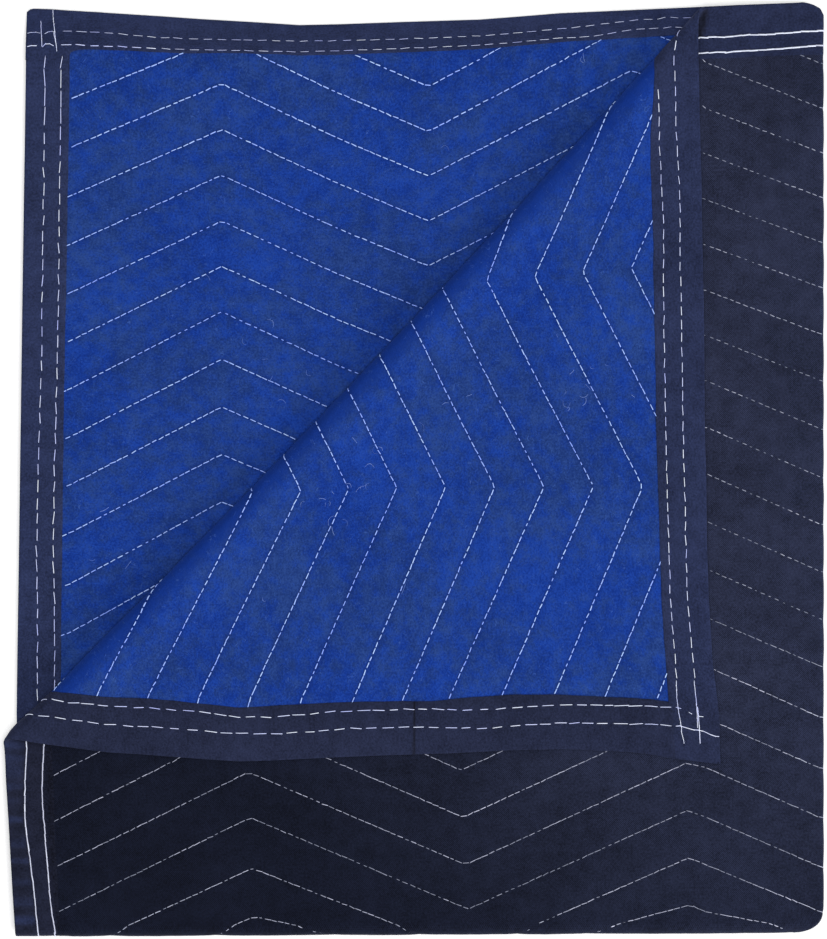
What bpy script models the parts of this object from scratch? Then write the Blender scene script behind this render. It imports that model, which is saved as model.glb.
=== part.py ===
"""Quilted moving blanket, folded in quarters with one corner turned down.

The blanket is one sheet of two quilted cloths with four edge bindings.
It is folded in half at the right, in half again at the bottom, and the
upper left corner of the top layer is turned down over a slanted roll.

Flat sheet: u runs across from the side fold, v runs up from the end fold.
u < 0 is the half with the outer layers, u > 0 the half with the inner ones.
v > 0 is the upper half of the stack, v < 0 the lower half.
All sizes are in millimetres until the last step, which turns them to metres.
"""

import math

import bmesh
import bpy
import numpy as np
from mathutils import Vector

METRES = 0.001

# Flat sheet, measured from the two folds
HALF_OUTER = 932.0
HALF_INNER = 891.0
LENGTH_UPPER = 1023.0
LENGTH_LOWER = 962.0

# Stack of layers
PITCH = 6.0
BOTTOM_MID = 1.95
HALF_COVER = 1.95
CLOTH_INSIDE = 0.15
CLOTH_PLAIN = 1.8
CLOTH_GROOVE = 1.0
CLOTH_CROWN = 2.05
CLOTH_UNDER_TAPE = 0.95
HEM_START = 0.6
HEM_STEP = 2.6
QUILT_EDGE = 18.0
QUILT_EDGE_SHARE = 0.5
TAPE_INSIDE = 1.25
PANEL_INSET = 1.5
NOSE = 0.7

# Outline of the folded stack, from the middle of its bounding box
RIGHT_EDGE = 454.8
BOTTOM_EDGE = -513.8
BOTTOM_SLANT = 0.0047
CORNER_ROUND_TOP = 16.0
CORNER_ROUND_BOTTOM = 24.0
CORNER_REACH = 60.0
TO_CENTRE = (0.4, -0.4)

# Half length of the sheet taken up by each fold
SIDE_RADIUS = PITCH / 2
SIDE_BAND = SIDE_RADIUS * math.pi / 2
SIDE_CENTRE = RIGHT_EDGE - SIDE_RADIUS - HALF_COVER
END_BAND = 9.4
END_CENTRE = BOTTOM_EDGE + 1.5 * PITCH + HALF_COVER
BAND_STEPS = 6

# Turned-down corner: outer line of its roll, from its top end to its low end
ROLL_TOP = (317.5, 510.8)
ROLL_LOW = (-452.4, -298.4)
ROLL_RADIUS = 7.0
ROLL_BOW_REACH = 90.0
ROLL_BOW_STEPS = (0.0, 90.0, 190.0, 300.0, 420.0, 540.0, 660.0, 780.0, 890.0, 990.0, 1116.0)
ROLL_BOW_PUSH = (0.0, 1.8, 3.6, 5.2, 6.4, 7.0, 6.8, 5.6, 3.6, 1.4, 0.0)
ROLL_STEPS = 8
SETTLE_STEPS = (0.0, 14.0, 30.0, 50.0, 75.0)
SETTLE_SHARE = (0.0, 0.12, 0.42, 0.82, 1.0)
RELIEF_PAST_ROLL = 45.0

# The second layer droops past the lower two at its end, away from the side fold
DROOP_STEPS = (0.0, 10.0, 22.0, 34.0, 46.0, 59.0)
DROOP_DROP = (9.8, 8.9, 6.6, 3.8, 1.3, 0.0)
DROOP_ACROSS = (60.0, 110.0, 160.0, 248.0, 337.0)
DROOP_SHARE = (0.0, 0.25, 0.6, 0.93, 1.0)

# Widths of the binding legs on the blue cloth and on the dark cloth
END_TAPE = {"blue": 54.0, "dark": 56.0}
LOW_TAPE = {"blue": 50.0, "dark": 50.0}
OUTER_TAPE = {"blue": 61.0, "dark": 48.0}
INNER_TAPE = {"blue": 50.0, "dark": 50.0}
TAPE_GAP = 0.4

# The inner half is sewn narrower at the upper end: flat and laid distances
SQUEEZE_FLAT = (0.0, 54.0, 140.0)
SQUEEZE_LAID = (0.0, 36.0, 140.0)
SQUEEZE_REACH = 130.0

# Where each layer's side edge lies: (share of its length, distance across)
OUTER_UPPER_SIDE = (
    (0.0, 894.9), (0.206, 908.6), (0.33, 929.5), (0.476, 945.0), (0.594, 947.5),
    (0.765, 950.3), (0.831, 952.1), (0.93, 959.1), (1.0, 971.1),
)
INNER_UPPER_SIDE = ((0.0, 893.0), (0.24, 896.6), (0.55, 892.6), (1.0, 884.2))
OUTER_LOWER_SIDE = ((0.0, 894.9), (1.0, 877.0))
INNER_LOWER_SIDE = ((0.0, 893.0), (1.0, 880.0))

# Where each layer's end edge lies: (distance across, distance up)
OUTER_UPPER_END = (
    (0.0, 1030.3), (92.0, 1027.4), (137.0, 1025.4), (170.0, 1022.3),
    (278.0, 1017.8), (429.0, 1012.4), (614.0, 1008.3), (793.0, 1006.1),
    (971.0, 1007.4),
)
INNER_UPPER_END = (
    (0.0, 1030.3), (92.0, 1027.4), (159.0, 1024.5), (248.0, 1021.0),
    (292.0, 1019.3), (337.0, 1015.8), (381.0, 1012.6), (470.0, 1010.2),
    (536.0, 1008.1), (581.0, 1007.3), (625.0, 1010.4), (692.0, 1014.6),
    (736.0, 1017.9), (803.0, 1022.7), (847.0, 1024.8), (885.0, 1024.0),
)
OUTER_LOWER_END = ((0.0, 966.0), (450.0, 955.0), (894.0, 958.0))
INNER_LOWER_END = ((0.0, 966.0), (450.0, 952.0), (893.0, 960.0))

# Turning lines of the chevron quilting: (stitch row, across, up)
OUTER_TURNS = (
    ((-2, 1000.0, 897.0), (14, 935.0, 36.0)),
    ((-2, 901.8, 944.3), (4, 887.9, 607.1), (9, 864.9, 324.7), (14, 849.8, 76.0)),
    ((0, 665.9, 938.9), (7, 648.2, 557.0), (14, 637.4, 179.4), (17, 631.3, 19.5)),
    ((-2, 423.7, 937.2), (1, 425.7, 773.0), (12, 402.0, 180.5), (15, 394.3, 28.4)),
    ((-1, 175.6, 982.0), (14, 152.3, 187.1), (17, 147.9, 31.1)),
)
SIDE_TURN = ((-1, 0.0, 914.1), (14, 0.0, 128.2))
INNER_TURNS = (
    ((0, 212.8, 955.5), (10, 212.8, 439.3)),
    ((0, 438.0, 840.6), (2, 438.0, 741.2), (10, 438.0, 339.4)),
    ((0, 667.3, 944.3), (4, 667.3, 741.2), (9, 667.3, 479.2), (17, 667.3, 60.7)),
    ((-1, 836.1, 928.4), (3, 836.1, 711.2), (15, 836.1, 72.6)),
    ((-1, 925.0, 892.0), (15, 925.0, 36.0)),
)
FIRST_ROW = -8
LAST_ROW = 22
ROW_PARTS = ((0.0, 0.0), (0.12, 0.66), (0.32, 0.95), (0.5, 1.0), (0.68, 0.95), (0.88, 0.66))
COLUMN_PARTS = 2

# Stations along the bindings where the outline is allowed to bend
END_STATIONS_OUTER = (-910, -793, -700, -614, -520, -429, -350, -278, -170, -110, -60)
END_STATIONS_INNER = (60, 110, 160, 248, 337, 430, 500, 581, 650, 736, 803, 860)
SIDE_STATIONS = (-820, -600, -400, -200, 110, 211, 337, 487, 608, 700, 783, 850, 951)

MATERIALS = {
    "felt_blue": (0.016, 0.052, 0.262, 1.0),
    "weave_dark": (0.013, 0.014, 0.026, 1.0),
    "tape_navy": (0.024, 0.030, 0.085, 1.0),
}


def clear_scene():
    for item in list(bpy.data.objects):
        bpy.data.objects.remove(item, do_unlink=True)


def lookup(value, table):
    """Read a two-column table at a value."""
    return float(np.interp(value, [row[0] for row in table], [row[1] for row in table]))


def stretched(value, table, column):
    """Read a turning line at a stitch row, past both its ends as well."""
    rows = [entry[0] for entry in table]
    values = [entry[column] for entry in table]
    if value < rows[0]:
        slope = (values[1] - values[0]) / (rows[1] - rows[0])
        return values[0] + slope * (value - rows[0])
    if value > rows[-1]:
        slope = (values[-1] - values[-2]) / (rows[-1] - rows[-2])
        return values[-1] + slope * (value - rows[-1])
    return float(np.interp(value, rows, values))


def side_tables(inner, lower):
    """Half width, half length, side table and end table of one layer."""
    width = HALF_INNER if inner else HALF_OUTER
    length = LENGTH_LOWER if lower else LENGTH_UPPER
    if lower and inner:
        return width, length, INNER_LOWER_SIDE, INNER_LOWER_END
    if lower:
        return width, length, OUTER_LOWER_SIDE, OUTER_LOWER_END
    if inner:
        return width, length, INNER_UPPER_SIDE, INNER_UPPER_END
    return width, length, OUTER_UPPER_SIDE, OUTER_UPPER_END


def squeeze_share(across, inner, lower):
    """How far the narrow end hem of the inner half applies."""
    if not inner or lower:
        return 0.0
    share = min(1.0, across / SQUEEZE_REACH)
    return share * share * (3 - 2 * share)


def lay(u, v):
    """Lay a flat point: distance across from the side fold, up from the end fold."""
    inner = u > 0
    lower = v < 0
    width, length, side, end = side_tables(inner, lower)
    across = abs(u) * lookup(abs(v) / length, side) / width
    share = squeeze_share(across, inner, lower)
    edge = length - abs(v)
    laid_edge = edge
    if 0 < edge < SQUEEZE_FLAT[-1]:
        laid = float(np.interp(edge, SQUEEZE_FLAT, SQUEEZE_LAID))
        laid_edge = edge + (laid - edge) * share
    up = (length - laid_edge) * lookup(across, end) / length
    return math.copysign(across, u), math.copysign(up, v)


def unlay(across, up):
    """Flat point of a laid one in the upper half."""
    inner = across > 0
    width, length, side, end = side_tables(inner, False)
    distance = abs(across)
    share = squeeze_share(distance, inner, False)
    laid_edge = length - up * length / lookup(distance, end)
    edge = laid_edge
    if 0 < laid_edge < SQUEEZE_FLAT[-1]:
        knots = [f + (s - f) * share for f, s in zip(SQUEEZE_FLAT, SQUEEZE_LAID)]
        edge = float(np.interp(laid_edge, knots, SQUEEZE_FLAT))
    v = length - edge
    u = distance * width / lookup(max(0.0, v) / length, side)
    return math.copysign(u, across), v


def roll_axes():
    """Unit vectors along the roll and out of it, towards the upper left."""
    start = Vector(ROLL_TOP)
    along = (Vector(ROLL_LOW) - start).normalized()
    out = Vector((along.y, -along.x))
    if out.x > 0:
        out = -out
    return start, along, out


def plan_of(p, y):
    """Unfolded plan place of a laid point of the upper half."""
    x = SIDE_CENTRE + SIDE_BAND - abs(p)
    up = END_CENTRE + y - END_BAND - BOTTOM_SLANT * abs(p)
    return x, up


def roll_distance(p, y):
    """Distance of a laid point past the outer line of the roll."""
    start, _along, out = roll_axes()
    x, up = plan_of(p, y)
    return (Vector((x, up)) - start).dot(out)


def fold_side(p, w):
    """Fold in half at the right: plan x and height above the lower fold plane."""
    lift = PITCH
    if abs(p) <= SIDE_BAND:
        angle = -p / SIDE_BAND * math.pi / 2
        radius = SIDE_RADIUS - w
        return SIDE_CENTRE + radius * math.cos(angle), lift + radius * math.sin(angle)
    x = SIDE_CENTRE - (abs(p) - SIDE_BAND)
    radius = SIDE_RADIUS - w
    return x, lift + (radius if p < 0 else -radius)


def fold_end(y, height):
    """Fold in half at the bottom: plan y and height about the middle plane."""
    if abs(y) <= END_BAND:
        angle = y / END_BAND * math.pi / 2
        return END_CENTRE - height * math.cos(angle), height * math.sin(angle)
    place = END_CENTRE + (abs(y) - END_BAND)
    return place, height if y > 0 else -height


def settle(distance):
    """Height of the turned-down corner over its layer, past the roll."""
    share = float(np.interp(distance, SETTLE_STEPS, SETTLE_SHARE))
    return 2 * ROLL_RADIUS + (PITCH - 2 * ROLL_RADIUS) * share


def turn_down(x, y, w, base):
    """Carry a point of the top layer over the roll; None before the roll."""
    start, along, out = roll_axes()
    offset = Vector((x, y)) - start
    far = offset.dot(out)
    run = offset.dot(along)
    centre = -(ROLL_RADIUS + HALF_COVER)
    if far <= centre:
        return None
    arc = math.pi * ROLL_RADIUS
    if far < centre + arc:
        angle = (far - centre) / ROLL_RADIUS
        reach = centre + (ROLL_RADIUS + w) * math.sin(angle)
        height = base + ROLL_RADIUS - (ROLL_RADIUS + w) * math.cos(angle)
    else:
        past = far - centre - arc
        reach = centre - past
        height = base + settle(past) + w
    place = start + along * run + out * reach
    return place.x, place.y, height


def bow(x, y):
    """Bend the top layer slightly along the roll, so that the roll is not straight."""
    start, along, out = roll_axes()
    offset = Vector((x, y)) - start
    near = math.exp(-(offset.dot(out) / ROLL_BOW_REACH) ** 2)
    push = float(np.interp(offset.dot(along), ROLL_BOW_STEPS, ROLL_BOW_PUSH)) * near
    return x - out.x * push, y - out.y * push


def rounding(distance, radius):
    """Inward shift that rounds an outline corner."""
    if distance >= radius:
        return 0.0
    left = radius - max(0.0, distance)
    return radius - math.sqrt(max(0.0, radius * radius - left * left))


def droop(flat_u, flat_v):
    """How far the second layer hangs below its level at a flat point."""
    if flat_u <= DROOP_ACROSS[0] or flat_v <= 0:
        return 0.0
    drop = float(np.interp(LENGTH_UPPER - flat_v, DROOP_STEPS, DROOP_DROP))
    return drop * float(np.interp(flat_u, DROOP_ACROSS, DROOP_SHARE))


def fold_point(flat_u, flat_v, p, y, w):
    """Place one laid point of the sheet, w off its middle, in the folded stack."""
    x, height = fold_side(p, w)
    slant = BOTTOM_SLANT * abs(min(0.0, x - SIDE_CENTRE))
    upper = y > END_BAND
    place = None
    if p < -SIDE_BAND and upper:
        plan_y = END_CENTRE + (y - END_BAND) - slant
        place = turn_down(x, plan_y, w, lift_of_top())
    if place is not None:
        x, final_y, z = place
    else:
        final_y, z = fold_end(y, height)
        final_y -= slant
    if p < -SIDE_BAND and upper:
        x, final_y = bow(x, final_y)
    z -= droop(flat_u, flat_v)
    reach = max(0.0, 1 - (RIGHT_EDGE - x) / CORNER_REACH)
    if reach > 0:
        low = final_y - (BOTTOM_EDGE - slant)
        top = BOTTOM_EDGE + 1.55 + OUTER_UPPER_END[0][1] + NOSE - final_y
        x -= reach * rounding(low, CORNER_ROUND_BOTTOM)
        if flat_v > 0:
            x -= reach * rounding(top, CORNER_ROUND_TOP)
    return x + TO_CENTRE[0], final_y + TO_CENTRE[1], z + BOTTOM_MID + 1.5 * PITCH


def lift_of_top():
    """Height of the top layer over the middle plane of the stack."""
    return PITCH * 1.5


def cut(bm, point, normal, faces=None, keep=True, clear=False):
    """Cut the mesh by an upright plane and mark the new edges as lasting."""
    chosen = list(bm.faces) if faces is None else faces
    edges = {edge for face in chosen for edge in face.edges}
    verts = {vert for face in chosen for vert in face.verts}
    geometry = list(verts) + list(edges) + list(chosen)
    result = bmesh.ops.bisect_plane(
        bm,
        geom=geometry,
        dist=0.01,
        plane_co=point,
        plane_no=normal,
        clear_outer=clear,
        clear_inner=False,
    )
    layer = bm.edges.layers.int["keep"]
    if keep:
        for item in result["geom_cut"]:
            if isinstance(item, bmesh.types.BMEdge):
                item[layer] = 1


def cut_u(bm, u, faces=None, keep=True):
    cut(bm, (u, 0, 0), (1, 0, 0), faces, keep)


def cut_v(bm, v, faces=None, keep=True):
    cut(bm, (0, v, 0), (0, 1, 0), faces, keep)


def add_layers(bm):
    bm.edges.layers.int.new("keep")
    bm.verts.layers.float.new("puff")
    bm.verts.layers.float.new("flat_u")
    bm.verts.layers.float.new("flat_v")


def turn_columns():
    """Every turning line from the outer side edge to the inner one, halved between."""
    outer = [tuple((row, -across, up) for row, across, up in turn) for turn in OUTER_TURNS]
    columns = outer + [SIDE_TURN] + list(INNER_TURNS)
    return columns


def pattern_grid(bm):
    """Flat faces whose rows follow the chevron stitch lines."""
    puff = bm.verts.layers.float["puff"]
    columns = turn_columns()
    rng = np.random.default_rng(7)
    rows = []
    for row in range(FIRST_ROW, LAST_ROW):
        swell = rng.uniform(0.9, 1.0)
        for part, height in ROW_PARTS:
            rows.append((row + part, height * swell if part else 0.0))
    grid = []
    for left, right in zip(columns[:-1], columns[1:]):
        for part in range(COLUMN_PARTS):
            grid.append((left, right, part / COLUMN_PARTS))
    grid.append((columns[-1], columns[-1], 0.0))
    lines = []
    for value, height in rows:
        line = []
        for left, right, share in grid:
            places = []
            for turn in (left, right):
                across = stretched(value, turn, 1)
                up = stretched(value, turn, 2)
                places.append((across, up))
            across = places[0][0] * (1 - share) + places[1][0] * share
            up = places[0][1] * (1 - share) + places[1][1] * share
            u, v = unlay(across, up)
            vert = bm.verts.new((u, v, 1.0))
            vert[puff] = height
            line.append(vert)
        lines.append(line)
    for low, high in zip(lines[:-1], lines[1:]):
        for i in range(len(grid) - 1):
            bm.faces.new((high[i], high[i + 1], low[i + 1], low[i]))


def flat_centre(face, layer_u, layer_v):
    u = sum(vert[layer_u] for vert in face.verts) / len(face.verts)
    v = sum(vert[layer_v] for vert in face.verts) / len(face.verts)
    return u, v


def dissolve_plain(bm, plain):
    """Join the faces of the plain zones inside the lasting cuts."""
    keep = bm.edges.layers.int["keep"]
    marks = {face: plain(face) for face in bm.faces}
    loose = []
    for edge in bm.edges:
        faces = edge.link_faces
        if len(faces) == 2 and not edge[keep] and all(marks[face] for face in faces):
            loose.append(edge)
    if loose:
        bmesh.ops.dissolve_edges(bm, edges=loose, use_verts=True, use_face_split=False)


def edge_distances(u, v, tape):
    """Distances inside the side edge and inside the end edge, past their tapes."""
    side = HALF_INNER - u if u > 0 else HALF_OUTER + u
    end = LENGTH_UPPER - v if v > 0 else LENGTH_LOWER + v
    side_tape = INNER_TAPE[tape] if u > 0 else OUTER_TAPE[tape]
    end_tape = END_TAPE[tape] if v > 0 else LOW_TAPE[tape]
    return side - side_tape, end - end_tape


def flat_panel(tape):
    """Closed flat panel with the quilting rows on its outer face."""
    bm = bmesh.new()
    add_layers(bm)
    pattern_grid(bm)
    left = -(HALF_OUTER - PANEL_INSET)
    right = HALF_INNER - PANEL_INSET
    top = LENGTH_UPPER - PANEL_INSET
    low = -(LENGTH_LOWER - PANEL_INSET)
    start = END_BAND + 2.0
    cut(bm, (left, 0, 0), (-1, 0, 0), keep=True, clear=True)
    cut(bm, (right, 0, 0), (1, 0, 0), keep=True, clear=True)
    cut(bm, (0, top, 0), (0, 1, 0), keep=True, clear=True)
    cut(bm, (0, start, 0), (0, -1, 0), keep=True, clear=True)
    cut_u(bm, -(HALF_OUTER - OUTER_TAPE[tape] - HEM_STEP))
    cut_u(bm, HALF_INNER - INNER_TAPE[tape] - HEM_STEP)
    cut_v(bm, LENGTH_UPPER - END_TAPE[tape] - HEM_STEP)

    def hemmed(face):
        centre = face.calc_center_median()
        side, end = edge_distances(centre.x, centre.y, tape)
        return min(side, end) < HEM_STEP

    dissolve_plain(bm, hemmed)
    border = [vert for vert in bm.verts if abs(vert.co.y - start) < 1e-3]
    border.sort(key=lambda vert: vert.co.x)
    corners = [bm.verts.new((right, low, 1.0)), bm.verts.new((left, low, 1.0))]
    bm.faces.new(border[::-1] + corners[::-1])
    close_panel(bm)
    return bm


def close_panel(bm):
    """Add the inner face and the narrow rim to a flat outer face."""
    rim = [edge for edge in bm.edges if len(edge.link_faces) == 1]
    twin = {}
    for edge in rim:
        for vert in edge.verts:
            if vert not in twin:
                twin[vert] = bm.verts.new((vert.co.x, vert.co.y, 0.0))
    followers = {}
    for edge in rim:
        loop = edge.link_loops[0]
        first = loop.vert
        second = loop.link_loop_next.vert
        bm.faces.new((second, first, twin[first], twin[second]))
        followers[first] = second
    start = next(iter(followers))
    ring = [start]
    while followers[ring[-1]] is not start:
        ring.append(followers[ring[-1]])
    bm.faces.new([twin[vert] for vert in reversed(ring)])


def band_cuts(bm):
    """Cuts along the two main folds, across every layer."""
    for step in range(-BAND_STEPS // 2, BAND_STEPS // 2 + 1):
        cut_u(bm, step * SIDE_BAND / (BAND_STEPS / 2) * HALF_OUTER / 933.0)
        cut_v(bm, step * END_BAND / (BAND_STEPS / 2) / 1.0035)


def corner_cuts(bm):
    """Short cuts beside the side fold where the outline corners are round."""
    ends = [LENGTH_UPPER - d for d in (3.0, 8.0, 16.0)]
    ends += [-16.0, 16.0, 23.0, -23.0]
    for v in ends:
        near = [face for face in bm.faces if abs(face.calc_center_median().x) < 70]
        cut_v(bm, v, near)
    for u in (-72.0, 72.0):
        near = []
        for face in bm.faces:
            centre = face.calc_center_median()
            if abs(centre.y) < 40 or centre.y > LENGTH_UPPER - 60:
                near.append(face)
        cut_u(bm, u, near)


def droop_cuts(bm):
    for step in DROOP_STEPS[1:]:
        near = [face for face in bm.faces if face.calc_center_median().x > 0]
        cut_v(bm, LENGTH_UPPER - step, near)


def station_cuts(bm, reach):
    """Cuts across the hems, so that they follow the uneven outline."""
    for u in END_STATIONS_OUTER + END_STATIONS_INNER:
        chosen = []
        for face in bm.faces:
            centre = face.calc_center_median()
            if centre.y > LENGTH_UPPER - reach or centre.y < -(LENGTH_LOWER - 54):
                chosen.append(face)
        cut_u(bm, u, chosen)
    for v in SIDE_STATIONS:
        chosen = []
        for face in bm.faces:
            centre = face.calc_center_median()
            if centre.x > HALF_INNER - 56 or centre.x < -(HALF_OUTER - 66):
                chosen.append(face)
        cut_v(bm, v, chosen)


def lay_mesh(bm):
    """Remember flat places and lay the mesh out; x is the distance from the side fold."""
    layer_u = bm.verts.layers.float["flat_u"]
    layer_v = bm.verts.layers.float["flat_v"]
    for vert in bm.verts:
        vert[layer_u] = vert.co.x
        vert[layer_v] = vert.co.y
        vert.co.x, vert.co.y = lay(vert.co.x, vert.co.y)


def laid_plane(point, direction):
    """Point and normal in the laid sheet of an upright plane given in the plan."""
    p = point.x - SIDE_CENTRE - SIDE_BAND
    y = point.y - END_CENTRE + END_BAND - BOTTOM_SLANT * p
    return (p, y, 0.0), (direction.x + BOTTOM_SLANT * direction.y, direction.y, 0.0)


def roll_cut(bm, distance):
    """Cut at a distance past the outer line of the roll."""
    start, _along, out = roll_axes()
    point, normal = laid_plane(start + out * distance, out)
    faces = [face for face in bm.faces if face.calc_center_median().x < 0]
    cut(bm, point, normal, faces)


def roll_cuts(bm):
    centre = -(ROLL_RADIUS + HALF_COVER)
    arc = math.pi * ROLL_RADIUS
    for step in range(ROLL_STEPS + 1):
        roll_cut(bm, centre + arc * step / ROLL_STEPS)
    for step in SETTLE_STEPS[1:]:
        roll_cut(bm, centre + arc + step)
    start, along, _out = roll_axes()
    for step in ROLL_BOW_STEPS[1:-1]:
        point, normal = laid_plane(start + along * step, along)
        near = []
        for face in bm.faces:
            middle = face.calc_center_median()
            if middle.x > 0 or middle.y < 0:
                continue
            if -60 < roll_distance(middle.x, middle.y) < centre + arc + SETTLE_STEPS[-1]:
                near.append(face)
        cut(bm, point, normal, near)


def fold_mesh(bm):
    """Move every vertex of a laid mesh to its folded place."""
    layer_u = bm.verts.layers.float["flat_u"]
    layer_v = bm.verts.layers.float["flat_v"]
    bmesh.ops.triangulate(bm, faces=list(bm.faces), quad_method="BEAUTY", ngon_method="BEAUTY")
    for vert in bm.verts:
        place = fold_point(vert[layer_u], vert[layer_v], vert.co.x, vert.co.y, vert.co.z)
        vert.co = Vector(place) * METRES
    if bm.calc_volume(signed=True) < 0:
        bmesh.ops.reverse_faces(bm, faces=list(bm.faces))


def panel_relief_zone(tape, u, v, p, y):
    """Whether the quilting is raised here: only where the cloth can be seen."""
    side, end = edge_distances(u, v, tape)
    if min(side, end) < HEM_STEP - 0.01 or v < END_BAND + 1.99:
        return False
    if abs(p) < SIDE_BAND + 0.01:
        return False
    arc = math.pi * ROLL_RADIUS
    centre = -(ROLL_RADIUS + HALF_COVER)
    if u < 0:
        past = roll_distance(p, y)
        if centre < past < centre + arc:
            return False
        if tape == "dark":
            return past < centre
        return past > centre + arc
    if tape == "dark":
        return False
    return roll_distance(p, y) > -RELIEF_PAST_ROLL


def cloth_height(tape, u, v, p, y, puff):
    """Half thickness of the cloth at one point of its outer face."""
    side, end = edge_distances(u, v, tape)
    inside = min(side, end)
    if inside < HEM_START + 0.01:
        return CLOTH_UNDER_TAPE
    plain = CLOTH_PLAIN
    if v < END_BAND + 2.01 and tape == "dark":
        plain = HALF_COVER
    if inside < HEM_STEP - 0.01:
        share = (inside - HEM_START) / (HEM_STEP - HEM_START)
        return CLOTH_UNDER_TAPE + (plain - CLOTH_UNDER_TAPE) * share
    if not panel_relief_zone(tape, u, v, p, y):
        return plain
    rise = (inside - HEM_STEP) / (QUILT_EDGE - HEM_STEP)
    near = min(1.0, QUILT_EDGE_SHARE + (1 - QUILT_EDGE_SHARE) * rise)
    return CLOTH_GROOVE + (CLOTH_CROWN - CLOTH_GROOVE) * puff * near


def build_panel(name, tape, slot):
    bm = flat_panel(tape)
    layer_u = bm.verts.layers.float["flat_u"]
    layer_v = bm.verts.layers.float["flat_v"]
    puff = bm.verts.layers.float["puff"]
    for step in (HEM_START, HEM_STEP):
        cut_u(bm, -(HALF_OUTER - OUTER_TAPE[tape] - step))
        cut_u(bm, HALF_INNER - INNER_TAPE[tape] - step)
    cut_v(bm, LENGTH_UPPER - END_TAPE[tape] - HEM_START)
    cut_v(bm, -(LENGTH_LOWER - LOW_TAPE[tape] - HEM_START))
    cut_v(bm, -(LENGTH_LOWER - LOW_TAPE[tape] - HEM_STEP))
    cut_u(bm, -(HALF_OUTER - OUTER_TAPE[tape] - QUILT_EDGE), keep=False)
    cut_u(bm, HALF_INNER - INNER_TAPE[tape] - QUILT_EDGE, keep=False)
    band_cuts(bm)
    corner_cuts(bm)
    droop_cuts(bm)
    station_cuts(bm, 60)
    lay_mesh(bm)
    roll_cuts(bm)

    def plain(face):
        if all(vert.co.z < 0.5 for vert in face.verts):
            return True
        if any(vert.co.z < 0.5 for vert in face.verts):
            return False
        u, v = flat_centre(face, layer_u, layer_v)
        centre = face.calc_center_median()
        return not panel_relief_zone(tape, u, v, centre.x, centre.y)

    dissolve_plain(bm, plain)
    sign = 1.0 if tape == "blue" else -1.0
    for vert in bm.verts:
        if vert.co.z < 0.5:
            vert.co.z = sign * CLOTH_INSIDE
            continue
        height = cloth_height(tape, vert[layer_u], vert[layer_v], vert.co.x, vert.co.y, vert[puff])
        vert.co.z = sign * height
    fold_mesh(bm)
    return finish(bm, name, slot)


def tape_section(blue, dark):
    """U-shaped section of a binding: (inside the edge, off the middle)."""
    outer = HALF_COVER
    inner = TAPE_INSIDE
    return [
        (blue, outer), (0.8, outer), (-NOSE, 1.1), (-NOSE, -1.1), (0.8, -outer), (dark, -outer),
        (dark, -inner), (1.2, -inner), (0.0, -0.7), (0.0, 0.7), (1.2, inner), (blue, inner),
    ]


def prism(bm, section, first, last, place):
    """Closed prism of a section between two stations."""
    rings = []
    for station in (first, last):
        rings.append([bm.verts.new(place(station, across, off)) for across, off in section])
    count = len(section)
    for i in range(count):
        j = (i + 1) % count
        bm.faces.new((rings[0][i], rings[0][j], rings[1][j], rings[1][i]))
    bm.faces.new(rings[0][::-1])
    bm.faces.new(rings[1])


def build_tape(name, edge, slot):
    """One binding strip along an edge of the sheet, folded with it."""
    bm = bmesh.new()
    add_layers(bm)
    low = LENGTH_LOWER - LOW_TAPE["blue"] - TAPE_GAP
    high = LENGTH_UPPER - max(END_TAPE.values()) - TAPE_GAP
    if edge == "end":
        section = tape_section(END_TAPE["blue"], END_TAPE["dark"])
        prism(bm, section, -HALF_OUTER - NOSE, HALF_INNER + NOSE,
              lambda s, e, w: (s, LENGTH_UPPER - e, w))
    elif edge == "low":
        section = tape_section(LOW_TAPE["blue"], LOW_TAPE["dark"])
        prism(bm, section, -HALF_OUTER - NOSE, HALF_INNER + NOSE,
              lambda s, e, w: (s, -LENGTH_LOWER + e, w))
    elif edge == "outer":
        section = tape_section(OUTER_TAPE["blue"], OUTER_TAPE["dark"])
        prism(bm, section, -low, high, lambda s, e, w: (-HALF_OUTER + e, s, w))
    else:
        section = tape_section(INNER_TAPE["blue"], INNER_TAPE["dark"])
        prism(bm, section, -low, high, lambda s, e, w: (HALF_INNER - e, s, w))
    band_cuts(bm)
    if edge in ("end", "low"):
        corner_cuts(bm)
    if edge != "low":
        droop_cuts(bm)
    station_cuts(bm, 60)
    lay_mesh(bm)
    if edge in ("end", "outer"):
        roll_cuts(bm)
    fold_mesh(bm)
    return finish(bm, name, slot)


def finish(bm, name, slot):
    """Make the object with its own material."""
    mesh = bpy.data.meshes.new(name)
    bm.to_mesh(mesh)
    bm.free()
    item = bpy.data.objects.new(name, mesh)
    bpy.context.scene.collection.objects.link(item)
    material = bpy.data.materials.new(f"{slot}.{name}")
    material.use_nodes = True
    shader = material.node_tree.nodes["Principled BSDF"]
    shader.inputs["Base Color"].default_value = MATERIALS[slot]
    shader.inputs["Roughness"].default_value = 0.9
    mesh.materials.append(material)
    mesh.shade_smooth()
    mesh.set_sharp_from_angle(angle=math.radians(30))
    return item


def main():
    clear_scene()
    build_panel("blue_face_panel", "blue", "felt_blue")
    build_panel("dark_back_panel", "dark", "weave_dark")
    build_tape("binding_end_upper", "end", "tape_navy")
    build_tape("binding_end_lower", "low", "tape_navy")
    build_tape("binding_side_outer", "outer", "tape_navy")
    build_tape("binding_side_inner", "inner", "tape_navy")


main()
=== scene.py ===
"""Quilted moving blanket, folded in quarters with one corner turned down.

The flat sheet is measured in millimetres. u runs across from the side fold, and u < 0
is the half with the outer layers. v runs up from the end fold, and v > 0 is the upper
half of the stack. w is the distance off the middle of the cloth, towards the felt.
Everything is shaped flat first, and then folded.
"""

from __future__ import annotations

import logging
import math
from dataclasses import dataclass, field
from enum import Enum

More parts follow.
